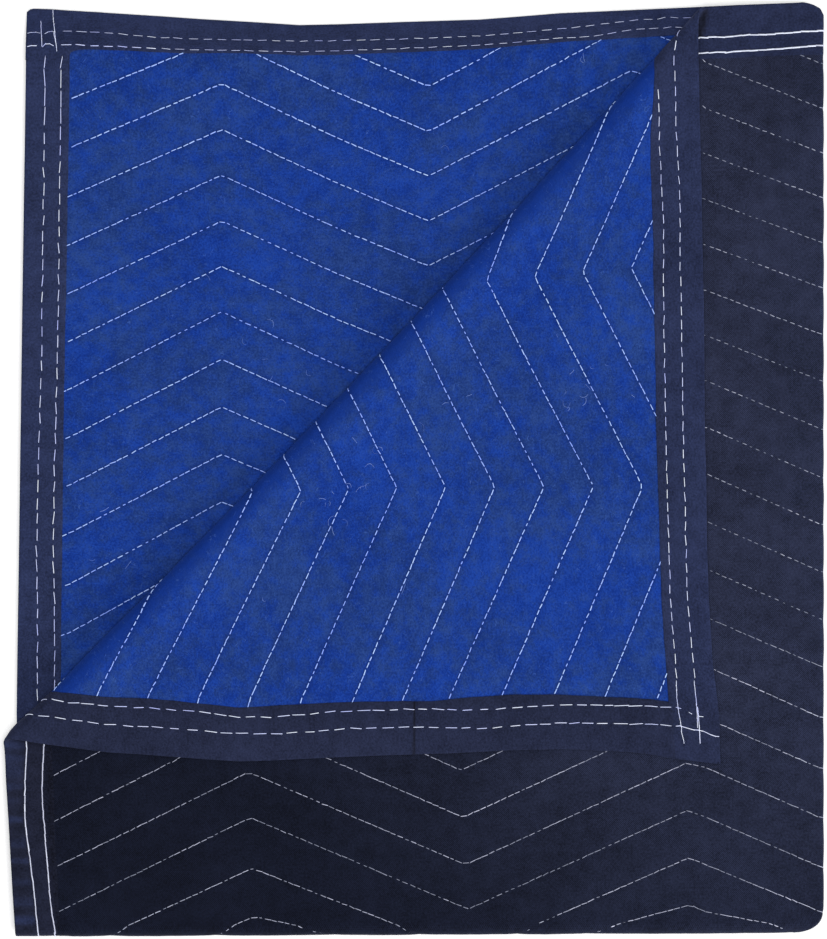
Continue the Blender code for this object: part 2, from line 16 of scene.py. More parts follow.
import bmesh
import bpy
import numpy as np
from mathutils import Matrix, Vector


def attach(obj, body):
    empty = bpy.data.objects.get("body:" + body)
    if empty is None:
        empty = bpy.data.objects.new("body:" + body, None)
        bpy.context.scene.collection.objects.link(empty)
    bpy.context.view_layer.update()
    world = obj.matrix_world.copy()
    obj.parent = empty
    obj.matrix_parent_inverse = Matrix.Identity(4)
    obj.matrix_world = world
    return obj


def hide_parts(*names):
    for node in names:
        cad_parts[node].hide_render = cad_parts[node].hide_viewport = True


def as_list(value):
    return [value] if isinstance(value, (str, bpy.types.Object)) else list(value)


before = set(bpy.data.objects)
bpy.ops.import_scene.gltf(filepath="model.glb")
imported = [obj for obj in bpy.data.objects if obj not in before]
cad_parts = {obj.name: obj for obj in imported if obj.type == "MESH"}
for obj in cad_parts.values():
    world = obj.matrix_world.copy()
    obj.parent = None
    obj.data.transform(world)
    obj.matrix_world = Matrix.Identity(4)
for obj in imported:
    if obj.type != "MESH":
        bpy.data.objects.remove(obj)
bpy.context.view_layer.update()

log = logging.getLogger("moving_blanket")

METRES = 0.001
BODY = "root"
THREAD_RADIUS = 0.1
THREAD_LENGTH = 0.8
COPY_GAP = 2.0
LINE_STEP = 1.5
Table = tuple[tuple[float, ...], ...]
Point = tuple[float, float, float]
Array = np.ndarray
Pair = tuple[np.ndarray, np.ndarray]
Mesh, Shape, Item = bpy.types.Mesh, bmesh.types.BMesh, bpy.types.Object
Material, Node, Socket = bpy.types.Material, bpy.types.Node, bpy.types.NodeSocket


class Face(Enum):
    """The two faces of the blanket, with the side of the sheet that each lies on."""

    FELT = 1.0
    WEAVE = -1.0


class Edge(Enum):
    """The four bound edges of the flat sheet."""

    END_UPPER = "binding_end_upper"
    END_LOWER = "binding_end_lower"
    SIDE_OUTER = "binding_side_outer"
    SIDE_INNER = "binding_side_inner"


def smooth(value: Array) -> Array:
    """Ease a share from 0 to 1."""
    share = np.clip(value, 0.0, 1.0)
    return share * share * (3 - 2 * share)


def read(value: Array, table: Table, column: int = 1) -> Array:
    """Read one column of a table at each value of its first column."""
    return np.interp(value, [row[0] for row in table], [row[column] for row in table])


def read_past(value: Array, table: Table, column: int) -> Array:
    """Read a table as straight lines that run on past both its ends."""
    value = np.asarray(value, float)
    rows = [entry[0] for entry in table]
    out = [entry[column] for entry in table]
    low = out[0] + (out[1] - out[0]) / (rows[1] - rows[0]) * (value - rows[0])
    high = out[-1] + (out[-1] - out[-2]) / (rows[-1] - rows[-2]) * (value - rows[-1])
    inside = np.interp(value, rows, out)
    return np.where(value < rows[0], low, np.where(value > rows[-1], high, inside))


def measured(x: Array, y: Array, start: Vector, way: Vector) -> Array:
    """Distances of places from a start, measured one way."""
    return (x - start.x) * way.x + (y - start.y) * way.y


@dataclass(frozen=True)
class Ripple:
    """A smooth uneven field over the flat sheet, made of a few waves.

    Sizes are in millimetres: the shortest and the longest wave.
    """

    shortest: float
    longest: float
    seed: int
    waves: int = 22

    def at(self, u: Array, v: Array) -> Array:
        """Height of the field, about -1 to 1.

        Args:
            u: distances across the flat sheet.
            v: distances up the flat sheet.

        Returns:
            One value for each place.
        """
        rng = np.random.default_rng(self.seed)
        total = np.zeros_like(np.asarray(u, float))
        for _ in range(self.waves):
            angle = rng.uniform(0, math.pi)
            length = self.shortest * (self.longest / self.shortest) ** rng.uniform()
            turn = rng.uniform(0, 2 * math.pi)
            run = u * math.cos(angle) + v * math.sin(angle)
            total += np.sin(run * 2 * math.pi / length + turn)
        return total / math.sqrt(self.waves)


@dataclass(frozen=True)
class Layer:
    """Sizes and uneven edges of one quarter of the sheet.

    The side edge is given as (share of the length, distance across), and the end
    edge as (distance across, distance up).
    """

    half_width: float
    half_length: float
    side_edge: Table
    end_edge: Table


OUTER_UPPER = Layer(
    932.0,
    1023.0,
    (
        (0.0, 894.9), (0.206, 908.6), (0.33, 929.5), (0.476, 945.0), (0.594, 947.5),
        (0.765, 950.3), (0.831, 952.1), (0.93, 959.1), (1.0, 971.1),
    ),
    (
        (0.0, 1030.3), (92.0, 1027.4), (137.0, 1025.4), (170.0, 1022.3),
        (278.0, 1017.8), (429.0, 1012.4), (614.0, 1008.3), (793.0, 1006.1),
        (971.0, 1007.4),
    ),
)
INNER_UPPER = Layer(
    891.0,
    1023.0,
    ((0.0, 893.0), (0.24, 896.6), (0.55, 892.6), (1.0, 884.2)),
    (
        (0.0, 1030.3), (92.0, 1027.4), (159.0, 1024.5), (248.0, 1021.0),
        (292.0, 1019.3), (337.0, 1015.8), (381.0, 1012.6), (470.0, 1010.2),
        (536.0, 1008.1), (581.0, 1007.3), (625.0, 1010.4), (692.0, 1014.6),
        (736.0, 1017.9), (803.0, 1022.7), (847.0, 1024.8), (885.0, 1024.0),
    ),
)
OUTER_LOWER = Layer(
    932.0, 962.0, ((0.0, 894.9), (1.0, 877.0)), ((0.0, 966.0), (450.0, 955.0), (894.0, 958.0))
)
INNER_LOWER = Layer(
    891.0, 962.0, ((0.0, 893.0), (1.0, 880.0)), ((0.0, 966.0), (450.0, 952.0), (893.0, 960.0))
)


@dataclass(frozen=True)
class FoldedSheet:
    """Carries places of the flat sheet into the folded stack."""

    pitch: float = 6.0
    bottom_mid: float = 1.95
    cover: float = 1.95
    right_edge: float = 454.8
    bottom_edge: float = -513.8
    bottom_slant: float = 0.0047
    round_top: tuple[float, float] = (14.5, 2.6)
    round_bottom: tuple[float, float] = (26.8, 1.12)
    corner_reach: float = 60.0
    nose: float = 0.7
    end_band: float = 9.4
    to_centre: tuple[float, float] = (0.4, -0.4)
    roll_top: tuple[float, float] = (317.5, 510.8)
    roll_low: tuple[float, float] = (-452.4, -298.4)
    roll_radius: float = 7.0
    roll_bow_reach: float = 90.0
    roll_bow: Table = (
        (0.0, 0.0), (90.0, 1.8), (190.0, 3.6), (300.0, 5.2), (420.0, 6.4), (540.0, 7.0),
        (660.0, 6.8), (780.0, 5.6), (890.0, 3.6), (990.0, 1.4), (1116.0, 0.0),
    )
    roll_nose_reach: float = 16.0
    roll_nose: Table = (
        (1050.0, 0.0), (1080.0, 1.2), (1098.0, 2.4), (1106.0, 2.2), (1114.0, 0.5), (1120.0, 0.0),
    )
    settle_reach: float = 74.0
    droop_drop: Table = (
        (0.0, 9.8), (10.0, 8.9), (22.0, 6.6), (34.0, 3.8), (46.0, 1.3), (59.0, 0.0),
    )
    droop_share: Table = ((60.0, 0.0), (110.0, 0.25), (160.0, 0.6), (248.0, 0.93), (337.0, 1.0))
    hem_laid: Table = ((0.0, 0.0), (54.0, 36.0), (140.0, 140.0))
    hem_reach: float = 130.0

    @property
    def side_radius(self) -> float:
        """Radius of the side fold at the middle of the cloth."""
        return self.pitch / 2

    @property
    def side_band(self) -> float:
        """Half of the cloth's width that the side fold takes up."""
        return self.side_radius * math.pi / 2

    @property
    def side_centre(self) -> float:
        """Where the side fold turns, across the plan."""
        return self.right_edge - self.side_radius - self.cover

    @property
    def end_centre(self) -> float:
        """Where the end fold turns, up the plan."""
        return self.bottom_edge + 1.5 * self.pitch + self.cover

    @property
    def roll_centre(self) -> float:
        """Distance of the roll's middle line past its outer line."""
        return -(self.roll_radius + self.cover)

    @property
    def roll_arc(self) -> float:
        """Length of cloth that the roll takes up."""
        return math.pi * self.roll_radius

    def layer(self, inner: bool, lower: bool) -> Layer:
        """The quarter of the sheet that a place belongs to."""
        if inner:
            return INNER_LOWER if lower else INNER_UPPER
        return OUTER_LOWER if lower else OUTER_UPPER

    def narrow_hem(self, across: Array, inner: bool, lower: bool) -> Array:
        """How far the narrow end hem of the inner half applies."""
        if not inner or lower:
            return np.zeros_like(across)
        return smooth(across / self.hem_reach)

    def lay(self, u: Array, v: Array) -> Pair:
        """Lay flat places out at their real, slightly uneven, distances.

        Args:
            u: distances across the flat sheet.
            v: distances up the flat sheet.

        Returns:
            Signed distances from the side fold and from the end fold.
        """
        across, up = np.zeros_like(u), np.zeros_like(v)
        for inner in (False, True):
            for lower in (False, True):
                here = ((u > 0) == inner) & ((v < 0) == lower)
                if not here.any():
                    continue
                quarter = self.layer(inner, lower)
                length = quarter.half_length
                far = np.abs(v[here])
                wide = np.abs(u[here]) * read(far / length, quarter.side_edge)
                wide /= quarter.half_width
                edge = length - far
                narrowed = read(edge, self.hem_laid)
                share = self.narrow_hem(wide, inner, lower)
                share = np.where((edge > 0) & (edge < self.hem_laid[-1][0]), share, 0.0)
                laid_edge = edge + (narrowed - edge) * share
                across[here] = wide
                up[here] = (length - laid_edge) * read(wide, quarter.end_edge) / length
        return np.where(u > 0, across, -across), np.where(v < 0, -up, up)

    def unlay(self, across: Array, up: Array) -> Pair:
        """Flat places of laid ones in the upper half, the inverse of lay."""
        u, v = np.zeros_like(across), np.zeros_like(up)
        for inner in (False, True):
            here = (across > 0) == inner
            if not here.any():
                continue
            quarter = self.layer(inner, False)
            length = quarter.half_length
            wide = np.abs(across[here])
            share = self.narrow_hem(wide, inner, False)
            laid_edge = length - up[here] * length / read(wide, quarter.end_edge)
            edge = laid_edge.copy()
            first, last = self.hem_laid[1], self.hem_laid[2]
            hem = first[0] + (first[1] - first[0]) * share
            near = laid_edge * first[0] / hem
            past = first[0] + (laid_edge - hem) * (last[0] - first[0]) / (last[0] - hem)
            edge = np.where(laid_edge < hem, near, past)
            edge = np.where((laid_edge > 0) & (laid_edge < last[0]), edge, laid_edge)
            v[here] = length - edge
            share_up = np.maximum(0.0, v[here]) / length
            u[here] = wide * quarter.half_width / read(share_up, quarter.side_edge)
        return np.where(across > 0, u, -u), v

    def roll_axes(self) -> tuple[Vector, Vector, Vector]:
        """Start of the roll, its direction, and the way out of it."""
        start = Vector(self.roll_top)
        along = (Vector(self.roll_low) - start).normalized()
        out = Vector((along.y, -along.x))
        return start, along, out if out.x < 0 else -out

    def plan(self, p: Array, y: Array) -> Pair:
        """Place in the plan of a laid point of the upper half, not turned down."""
        x = self.side_centre + self.side_band - np.abs(p)
        return x, self.end_centre + y - self.end_band - self.bottom_slant * np.abs(p)

    def roll_distance(self, p: Array, y: Array) -> Array:
        """Distance of laid points past the outer line of the roll."""
        start, _along, out = self.roll_axes()
        x, up = self.plan(p, y)
        return measured(x, up, start, out)

    def laid_plane(self, point: Vector, direction: Vector) -> tuple[Vector, Vector]:
        """An upright plane of the plan as a plane of the laid outer half."""
        p = point.x - self.side_centre - self.side_band
        y = point.y - self.end_centre + self.end_band - self.bottom_slant * p
        normal = Vector((direction.x + self.bottom_slant * direction.y, direction.y, 0.0))
        return Vector((p, y, 0.0)), normal

    def fold(self, u: Array, v: Array, w: Array) -> Array:
        """Fold flat places into the stack.

        Args:
            u: distances across the flat sheet.
            v: distances up the flat sheet.
            w: distances off the middle of the cloth.

        Returns:
            Places in metres, one row each.
        """
        p, y = self.lay(u, v)
        bent = np.abs(p) <= self.side_band
        angle = -p / self.side_band * math.pi / 2
        radius = self.side_radius - w
        x = np.where(
            bent,
            self.side_centre + radius * np.cos(angle),
            self.side_centre - (np.abs(p) - self.side_band),
        )
        turned = np.where(bent, np.sin(angle), -np.sign(p))
        height = self.pitch + radius * turned
        slant = self.bottom_slant * np.abs(np.minimum(0.0, x - self.side_centre))

        curl = np.abs(y) <= self.end_band
        tilt = y / self.end_band * math.pi / 2
        beyond = self.end_centre + (np.abs(y) - self.end_band)
        north = np.where(curl, self.end_centre - height * np.cos(tilt), beyond) - slant
        z = np.where(curl, height * np.sin(tilt), np.where(y > 0, height, -height))

        upper = (p < -self.side_band) & (y > self.end_band)
        x, north, z = self._turn_down(x, north, z, w, upper)
        x, north = self._bow(x, north, upper)
        z = z - self._droop(u, v)
        x = self._round_corners(x, north, slant, v)
        z = z + self.bottom_mid + 1.5 * self.pitch
        shift_x, shift_y = self.to_centre
        return np.stack((x + shift_x, north + shift_y, z), axis=1) * METRES

    def _turn_down(
        self, x: Array, y: Array, z: Array, w: Array, upper: Array
    ) -> tuple[Array, Array, Array]:
        """Carry the corner of the top layer over the roll."""
        start, along, out = self.roll_axes()
        far, run = measured(x, y, start, out), measured(x, y, start, along)
        base = self.pitch * 1.5
        centre, arc = self.roll_centre, self.roll_arc
        angle = np.clip((far - centre) / self.roll_radius, 0.0, math.pi)
        reach = centre + (self.roll_radius + w) * np.sin(angle)
        level = base + self.roll_radius - (self.roll_radius + w) * np.cos(angle)
        past = np.maximum(0.0, far - centre - arc)
        full = 2 * self.roll_radius
        settled = base + full + (self.pitch - full) * smooth(past / self.settle_reach) + w
        reach = np.where(past > 0, centre - past, reach)
        level = np.where(past > 0, settled, level)
        over = upper & (far > centre)
        place_x = start.x + along.x * run + out.x * reach
        place_y = start.y + along.y * run + out.y * reach
        return (
            np.where(over, place_x, x),
            np.where(over, place_y, y),
            np.where(over, level, z),
        )

    def _bow(self, x: Array, y: Array, upper: Array) -> Pair:
        """Bend the top layer slightly along the roll."""
        start, along, out = self.roll_axes()
        far, run = measured(x, y, start, out), measured(x, y, start, along)
        push = read(run, self.roll_bow) * np.exp(-((far / self.roll_bow_reach) ** 2))
        push -= read(run, self.roll_nose) * np.exp(-((far / self.roll_nose_reach) ** 2))
        push = np.where(upper, push, 0.0)
        return x - out.x * push, y - out.y * push

    def _droop(self, u: Array, v: Array) -> Array:
        """How far the second layer hangs below its level at its end."""
        drop = read(INNER_UPPER.half_length - v, self.droop_drop) * read(u, self.droop_share)
        return np.where((u > 0) & (v > 0), drop, 0.0)

    def _round_corners(self, x: Array, y: Array, slant: Array, v: Array) -> Array:
        """Round the two outline corners beside the side fold."""
        reach = np.maximum(0.0, 1 - (self.right_edge - x) / self.corner_reach)
        low = y - (self.bottom_edge - slant)
        top = self.bottom_edge + 1.55 + OUTER_UPPER.end_edge[0][1] + self.nose - y
        x = x - reach * self._rounding(low, self.round_bottom)
        return x - np.where(v > 0, reach * self._rounding(top, self.round_top), 0.0)

    @staticmethod
    def _rounding(distance: Array, corner: tuple[float, float]) -> Array:
        """Inward shift that rounds a corner of that radius, stretched across."""
        radius, stretch = corner
        left = np.clip(radius - np.maximum(0.0, distance), 0.0, radius)
        return stretch * (radius - np.sqrt(np.maximum(0.0, radius * radius - left * left)))


def upright(across: float, *places: tuple[float, float]) -> Table:
    """A turning line at one distance across, given as (stitch row, distance up)."""
    return tuple((row, across, up) for row, up in places)


@dataclass(frozen=True)
class ChevronPattern:
    """The zigzag stitch rows, given by the lines on which they turn.

    Each turning line is (stitch row, distance across, distance up) at a few rows.
    """

    outer: tuple[Table, ...] = (
        ((-2, 1000.0, 897.0), (14, 935.0, 36.0)),
        (
            (-2, 901.8, 944.3), (-1, 899.5, 885.3), (0, 897.2, 828.2), (1, 894.8, 770.2),
            (2, 892.5, 712.8), (3, 890.2, 662.3), (4, 887.9, 607.1), (9, 864.9, 324.7),
            (14, 849.8, 76.0),
        ),
        (
            (0, 665.9, 938.9), (7, 648.2, 557.0), (14, 637.4, 179.4), (15, 635.4, 129.0),
            (16, 633.3, 72.8), (17, 631.3, 19.5),
        ),
        (
            (-2, 423.7, 937.2), (1, 425.7, 773.0), (12, 402.0, 180.5), (14, 396.9, 75.8),
            (15, 394.3, 26.5), (16, 391.7, -22.8), (17, 390.0, -33.0), (18, 388.0, -110.0),
        ),
        (
            (-2, 177.1, 1060.0), (-1, 175.6, 1005.6), (0, 174.0, 954.6), (1, 172.5, 882.0),
            (2, 170.9, 823.0), (14, 152.3, 187.1), (17, 147.9, 30.0),
        ),
        upright(
            131.0, (-1, 963.9), (0, 912.7), (2, 811.7), (4, 711.0), (6, 611.0), (8, 508.0),
            (10, 402.7), (12, 295.0), (13, 237.0), (15, 127.3), (16, 74.5), (17, 22.3),
        ),
    )
    side: Table = upright(
        0.0, (-2, 960.3), (-1, 911.1), (1, 812.3), (3, 712.3), (5, 608.9), (7, 501.7), (9, 397.2),
        (11, 292.1), (13, 179.0), (14, 124.4), (15, 69.8), (16, 20.4), (17, -2.0), (18, -80.0),
    )
    inner: tuple[Table, ...] = (
        upright(212.8, (0, 955.5), (10, 439.3)),
        upright(438.0, (0, 838.9), (2, 739.5), (10, 337.7)),
        upright(540.0, (0, 882.3), (2, 782.2), (4, 681.3), (9, 426.0), (17, 17.0)),
        upright(667.3, (0, 942.8), (3, 790.5), (5, 689.8), (7, 584.4), (9, 479.2), (17, 60.7)),
        upright(836.1, (-1, 926.0), (3, 711.2), (8, 445.1), (9, 388.5), (10, 334.6), (15, 72.6)),
        upright(925.0, (-1, 892.0), (15, 36.0)),
    )
    rounding: tuple[float, ...] = (-0.007, -0.0035, 0.0, 0.0035, 0.007)
    inner_rounding: float = 1.9
    first_row: int = -8
    last_row: int = 22

    def turns(self) -> list[Table]:
        """Every turning line from the outer side edge to the inner one."""
        mirrored = [tuple((row, -far, up) for row, far, up in line) for line in self.outer]
        return [*mirrored, self.side, *self.inner]

    def place(self, sheet: FoldedSheet, row: Array, column: Array) -> Pair:
        """Flat places of pattern ones.

        Args:
            sheet: the sheet that the pattern is sewn on.
            row: stitch rows, with parts between them.
            column: turning lines counted from the outer edge, with parts between.

        Returns:
            Distances across and up the flat sheet.
        """
        across, up = np.zeros_like(row), np.zeros_like(row)
        wider = np.where(column > len(self.outer) + 0.5, self.inner_rounding, 1.0)
        for shift in self.rounding:
            far, high = self._sharp(row, column + shift * wider)
            across += far / len(self.rounding)
            up += high / len(self.rounding)
        return sheet.unlay(across, up)

    def _sharp(self, row: Array, column: Array) -> Pair:
        """Laid places of pattern ones, before the turns are rounded."""
        lines = self.turns()
        left = np.clip(np.floor(column).astype(int), 0, len(lines) - 2)
        share = column - left
        across, up = np.zeros_like(row), np.zeros_like(row)
        for index in range(len(lines) - 1):
            here = left == index
            if not here.any():
                continue
            for line, part in ((lines[index], 1 - share), (lines[index + 1], share)):
                across[here] += read_past(row[here], line, 1) * part[here]
                up[here] += read_past(row[here], line, 2) * part[here]
        return across, up


@dataclass(frozen=True)
class Leg:
    """One leg of a binding over a face of the cloth.

    Every table is (distance along the edge, distance inside the cloth's flat edge): the leg's own
    edge, and its outer and inner rows of stitches. Tone is how pale it is, 0 to 1; on the woven
    legs it also carries painted sheen, strong on the end binding at the top right and none on the
    side binding at the lower left. Wrinkle is the height of its wrinkles, and on the woven side
    leg it also sets how strongly their light and shade is painted.
    """

    width: Table
    outer: Table = ((0.0, 24.0),)
    inner: Table = ((0.0, 42.0),)
    tone: float = 0.5
    strip_darker: float = 0.0
    rim_paler: float = 0.0
    wrinkle: float = 0.06


@dataclass(frozen=True)
class TapeSizes:
    """A binding: its folded edge, its two legs, and where it starts and ends."""

    fold: Table
    felt: Leg
    weave: Leg
    start: float
    end: float
    flap_darker: float = 0.0
    creases: Table = ()

    def leg(self, face: Face) -> Leg:
        """The leg over one face."""
        return self.felt if face is Face.FELT else self.weave


TAPE_SIZES: dict[Edge, TapeSizes] = {
    Edge.END_UPPER: TapeSizes(
        fold=(
            (-940, -4.0), (-919, -4.5), (-892, -5.9), (-871, -4.4), (-828, -1.2), (-764, -0.7),
            (-700, -0.6), (-636, -2.2), (-572, -2.5), (-508, -3.8), (-444, -4.5), (-380, -4.1),
            (-316, -3.4), (-240, -1.5), (-180, -0.5), (-130, 0.3), (-60, 0.6), (0, 0.6),
            (60, 0.0), (470, -0.2), (740, -0.3), (800, -0.1), (845, -0.7), (853, -0.9),
            (862, -1.8), (876, -2.7), (884.5, -3.0), (888.3, -1.8), (890.3, 0.8),
        ),
        felt=Leg(
            width=(
                (-940, 51.0), (-877, 50.8), (-768, 52.8), (-386, 51.1), (-298, 54.3),
                (-272, 54.2), (-204, 49.3), (60, 47.0), (169, 45.6), (336, 49.3), (473, 51.6),
                (603, 51.7), (718, 56.9), (797, 58.3), (830, 59.3), (839, 61.0), (841.7, 64.3),
                (843.5, 68.9),
            ),
            outer=(
                (-918, 17.7), (-882, 18.6), (-770, 23.7), (-445, 21.1), (-333, 21.4),
                (-246, 25.8), (-219, 25.7), (-200, 26.7), (-192, 27.5), (-182, 27.3),
                (-172, 25.4), (-166, 23.3), (-160, 22.6), (150, 17.3), (161, 16.5),
                (167.7, 17.4), (172, 14.0), (177, 14.5), (181, 17.1), (205, 16.4), (291, 26.2),
                (367, 27.4), (473, 28.8), (583, 26.8), (642, 30.6), (741, 35.8), (805, 33.2),
                (850.6, 33.8),
            ),
            inner=(
                (-920, 36.4), (-884, 38.9), (-768, 43.1), (-445, 40.7), (-357, 39.6),
                (-286, 44.0), (-219, 45.5), (-160, 47.0), (161.5, 33.8), (166.6, 31.0),
                (172, 31.5), (175.5, 33.6), (182, 32.0), (193, 32.9), (205, 31.7), (259, 41.5),
                (336, 42.6), (473, 44.8), (582, 44.9), (641, 49.1), (741, 54.1), (804, 55.2),
                (852.5, 55.1),
            ),
            tone=1.15,
        ),
        # Paler woven leg: painted sheen on the top right of the stack.
        weave=Leg(
            width=((0, 58.0),),
            outer=(
                (-134, 34.1), (-116, 34.2), (-106, 35.4), (-97, 34.6), (-84, 33.9), (-60, 34.1),
                (-35, 33.0), (6, 31.5),
            ),
            inner=(
                (-170, 51.3), (-115, 51.2), (-107, 52.4), (-98, 51.5), (-60, 51.0),
                (-35.5, 49.7), (6, 48.0),
            ),
            tone=0.60,
        ),
        start=-938.0,
        end=890.3,
        flap_darker=0.35,
        creases=((-127.0, 6.0, -133.5, 31.0, 3.4, 0.5),),
    ),
    Edge.END_LOWER: TapeSizes(
        fold=((0, -0.7),), felt=Leg(((0, 50.0),)), weave=Leg(((0, 50.0),)),
        start=-932.7, end=891.7,
    ),
    Edge.SIDE_OUTER: TapeSizes(
        fold=(
            (0, -0.9), (45, -1.0), (90, -0.6), (130, -0.15), (174, 0.0), (196, 0.6),
            (236, 0.7), (270, 0.0), (318, -0.9), (386, -1.7), (453, -3.1), (521, -3.3),
            (588, -1.9), (656, -1.4), (724, -1.6), (791, -0.5), (859, -0.5), (926, -2.2),
            (960, -5.4), (975, -6.3),
        ),
        felt=Leg(
            width=(
                (200, 60.0), (283, 60.6), (388, 61.4), (491, 55.7), (602, 58.2), (671, 57.2),
                (707, 55.4), (723, 56.6), (741, 58.0), (787, 59.6), (802, 60.0),
                (971, 55.1),
            ),
            outer=(
                (240, 32.0), (290, 31.2), (311, 30.8), (400, 29.6), (490, 27.2), (538, 25.8),
                (610, 29.2), (692, 28.7), (761, 24.2), (853, 28.6), (939, 28.5), (959, 28.9),
                (979, 29.8),
            ),
            inner=(
                (250, 51.0), (380, 51.0), (435, 50.0), (490, 45.3), (539, 44.4), (591, 48.3),
                (693, 47.8), (762, 44.4), (866, 48.4), (940, 47.9), (961, 48.4), (980, 49.7),
            ),
            tone=0.30,
        ),
        # Dark woven leg: the lower left of the stack, without painted sheen.
        weave=Leg(
            width=((0, 51.0), (60, 51.5), (110, 51.5), (160, 53.5), (250, 54.5)),
            outer=(
                (0, 25.7), (59, 23.4), (99.5, 20.7), (129, 18.6), (151, 20.1), (163, 20.8),
                (185, 22.9), (206, 25.6), (218, 27.3), (250, 28.0),
            ),
            inner=(
                (0, 45.5), (36, 41.9), (87, 41.0), (151, 40.0), (163, 40.7), (185, 42.3),
                (202, 44.3), (215, 46.1), (250, 47.0),
            ),
            tone=-0.15,
            strip_darker=0.55,
            rim_paler=0.25,
            wrinkle=0.42,
        ),
        start=-911.6,
        end=976.5,
    ),
    Edge.SIDE_INNER: TapeSizes(
        fold=(
            (200, 2.0), (303, 2.0), (436, 2.3), (570, 2.4), (703, 1.8), (836, 1.4), (950, 1.2),
            (989, 0.7),
        ),
        felt=Leg(
            width=((0, 50.0),),
            outer=(
                (282, 24.6), (359, 23.6), (415, 22.0), (503, 22.2), (570, 23.6), (648, 24.1),
                (814, 23.4), (939, 22.6), (947, 21.5), (954, 21.6), (959, 22.3), (963, 23.7),
            ),
            inner=(
                (282, 43.4), (359, 42.3), (415, 40.3), (503, 40.4), (570, 41.2), (647, 41.9),
                (814, 41.2), (938, 40.9), (945, 40.0), (951, 40.3), (957, 41.6), (963, 42.6),
            ),
            tone=1.15,
        ),
        weave=Leg(width=((0, 50.0),)),
        start=-911.6,
        end=960.0,
    ),
}


def leg_width(edge: Edge, face: Face, along: Array) -> Array:
    """Width of a binding over one face of the cloth, at places along the edge."""
    return read(along, TAPE_SIZES[edge].leg(face).width)


def inside_tapes(u: Array, v: Array, face: Face) -> Pair:
    """Distances inside the side binding and inside the end binding."""
    side = np.where(
        u > 0,
        INNER_UPPER.half_width - u - leg_width(Edge.SIDE_INNER, face, v),
        OUTER_UPPER.half_width + u - leg_width(Edge.SIDE_OUTER, face, v),
    )
    end = np.where(
        v > 0,
        OUTER_UPPER.half_length - v - leg_width(Edge.END_UPPER, face, u),
        OUTER_LOWER.half_length + v - leg_width(Edge.END_LOWER, face, u),
    )
    return side, end


def place_along(edge: Edge, s: Array, reach: Array) -> Pair:
    """Flat places at distances along an edge and inside it."""
    if edge is Edge.END_UPPER:
        return s, OUTER_UPPER.half_length - reach
    if edge is Edge.END_LOWER:
        return s, -OUTER_LOWER.half_length + reach
    if edge is Edge.SIDE_OUTER:
        return -OUTER_UPPER.half_width + reach, s
    return INNER_UPPER.half_width - reach, s


def new_object(name: str, data: bpy.types.ID) -> Item:
    """Make an object and put it in the scene."""
    item = bpy.data.objects.new(name, data)
    bpy.context.scene.collection.objects.link(item)
    return item


def mesh_of(shape: Shape, name: str) -> Mesh:
    """Turn a finished bmesh into a mesh, and free it."""
    mesh = bpy.data.meshes.new(name)
    shape.to_mesh(mesh)
    shape.free()
    return mesh


def divide_wide(shape: Shape, method: str) -> None:
    """Divide faces of more than four corners into triangles."""
    wide = [face for face in shape.faces if len(face.verts) > 4]
    bmesh.ops.triangulate(shape, faces=wide, quad_method="BEAUTY", ngon_method=method)


def vertex_places(mesh: Mesh) -> Array:
    """Place of each vertex of a mesh, one row each."""
    places = np.zeros(len(mesh.vertices) * 3, np.float32)
    mesh.vertices.foreach_get("co", places)
    return places.reshape(-1, 3)


def finish_piece(mesh: Mesh, name: str, material: Material) -> Item:
    """Make an object of a finished mesh, and let it ride on the blanket."""
    item = new_object(name, mesh)
    mesh.materials.append(material)
    mesh.shade_smooth()
    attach(item, BODY)
    log.info("%s: %d faces", name, len(mesh.polygons))
    return item


def set_places(mesh: Mesh, places: Array) -> None:
    """Move every vertex of a mesh, and turn its faces outwards."""
    mesh.vertices.foreach_set("co", places.astype(np.float32).ravel())
    mesh.update()
    shape = bmesh.new()
    shape.from_mesh(mesh)
    if shape.calc_volume(signed=True) < 0:
        bmesh.ops.reverse_faces(shape, faces=list(shape.faces))
        shape.to_mesh(mesh)
    shape.free()
    mesh.update()


def add_flat_map(mesh: Mesh, u: Array, v: Array) -> None:
    """Give a mesh a UV map of its places on the flat sheet, in metres."""
    corners = np.zeros(len(mesh.loops), np.int32)
    mesh.loops.foreach_get("vertex_index", corners)
    layer = mesh.uv_layers.new(name="flat")
    flat = np.stack((u[corners], v[corners]), axis=1) * METRES
    layer.data.foreach_set("uv", flat.astype(np.float32).ravel())


def add_values(mesh: Mesh, name: str, values: Array) -> None:
    """Give a mesh a number at each vertex, for its material."""
    layer = mesh.attributes.new(name, "FLOAT", "POINT")
    layer.data.foreach_set("value", values.astype(np.float32))


def vertex_values(mesh: Mesh, name: str) -> Array:
    """Read a number at each vertex of a mesh."""
    values = np.zeros(len(mesh.vertices), np.float32)
    mesh.attributes[name].data.foreach_get("value", values)
    return values.astype(float)


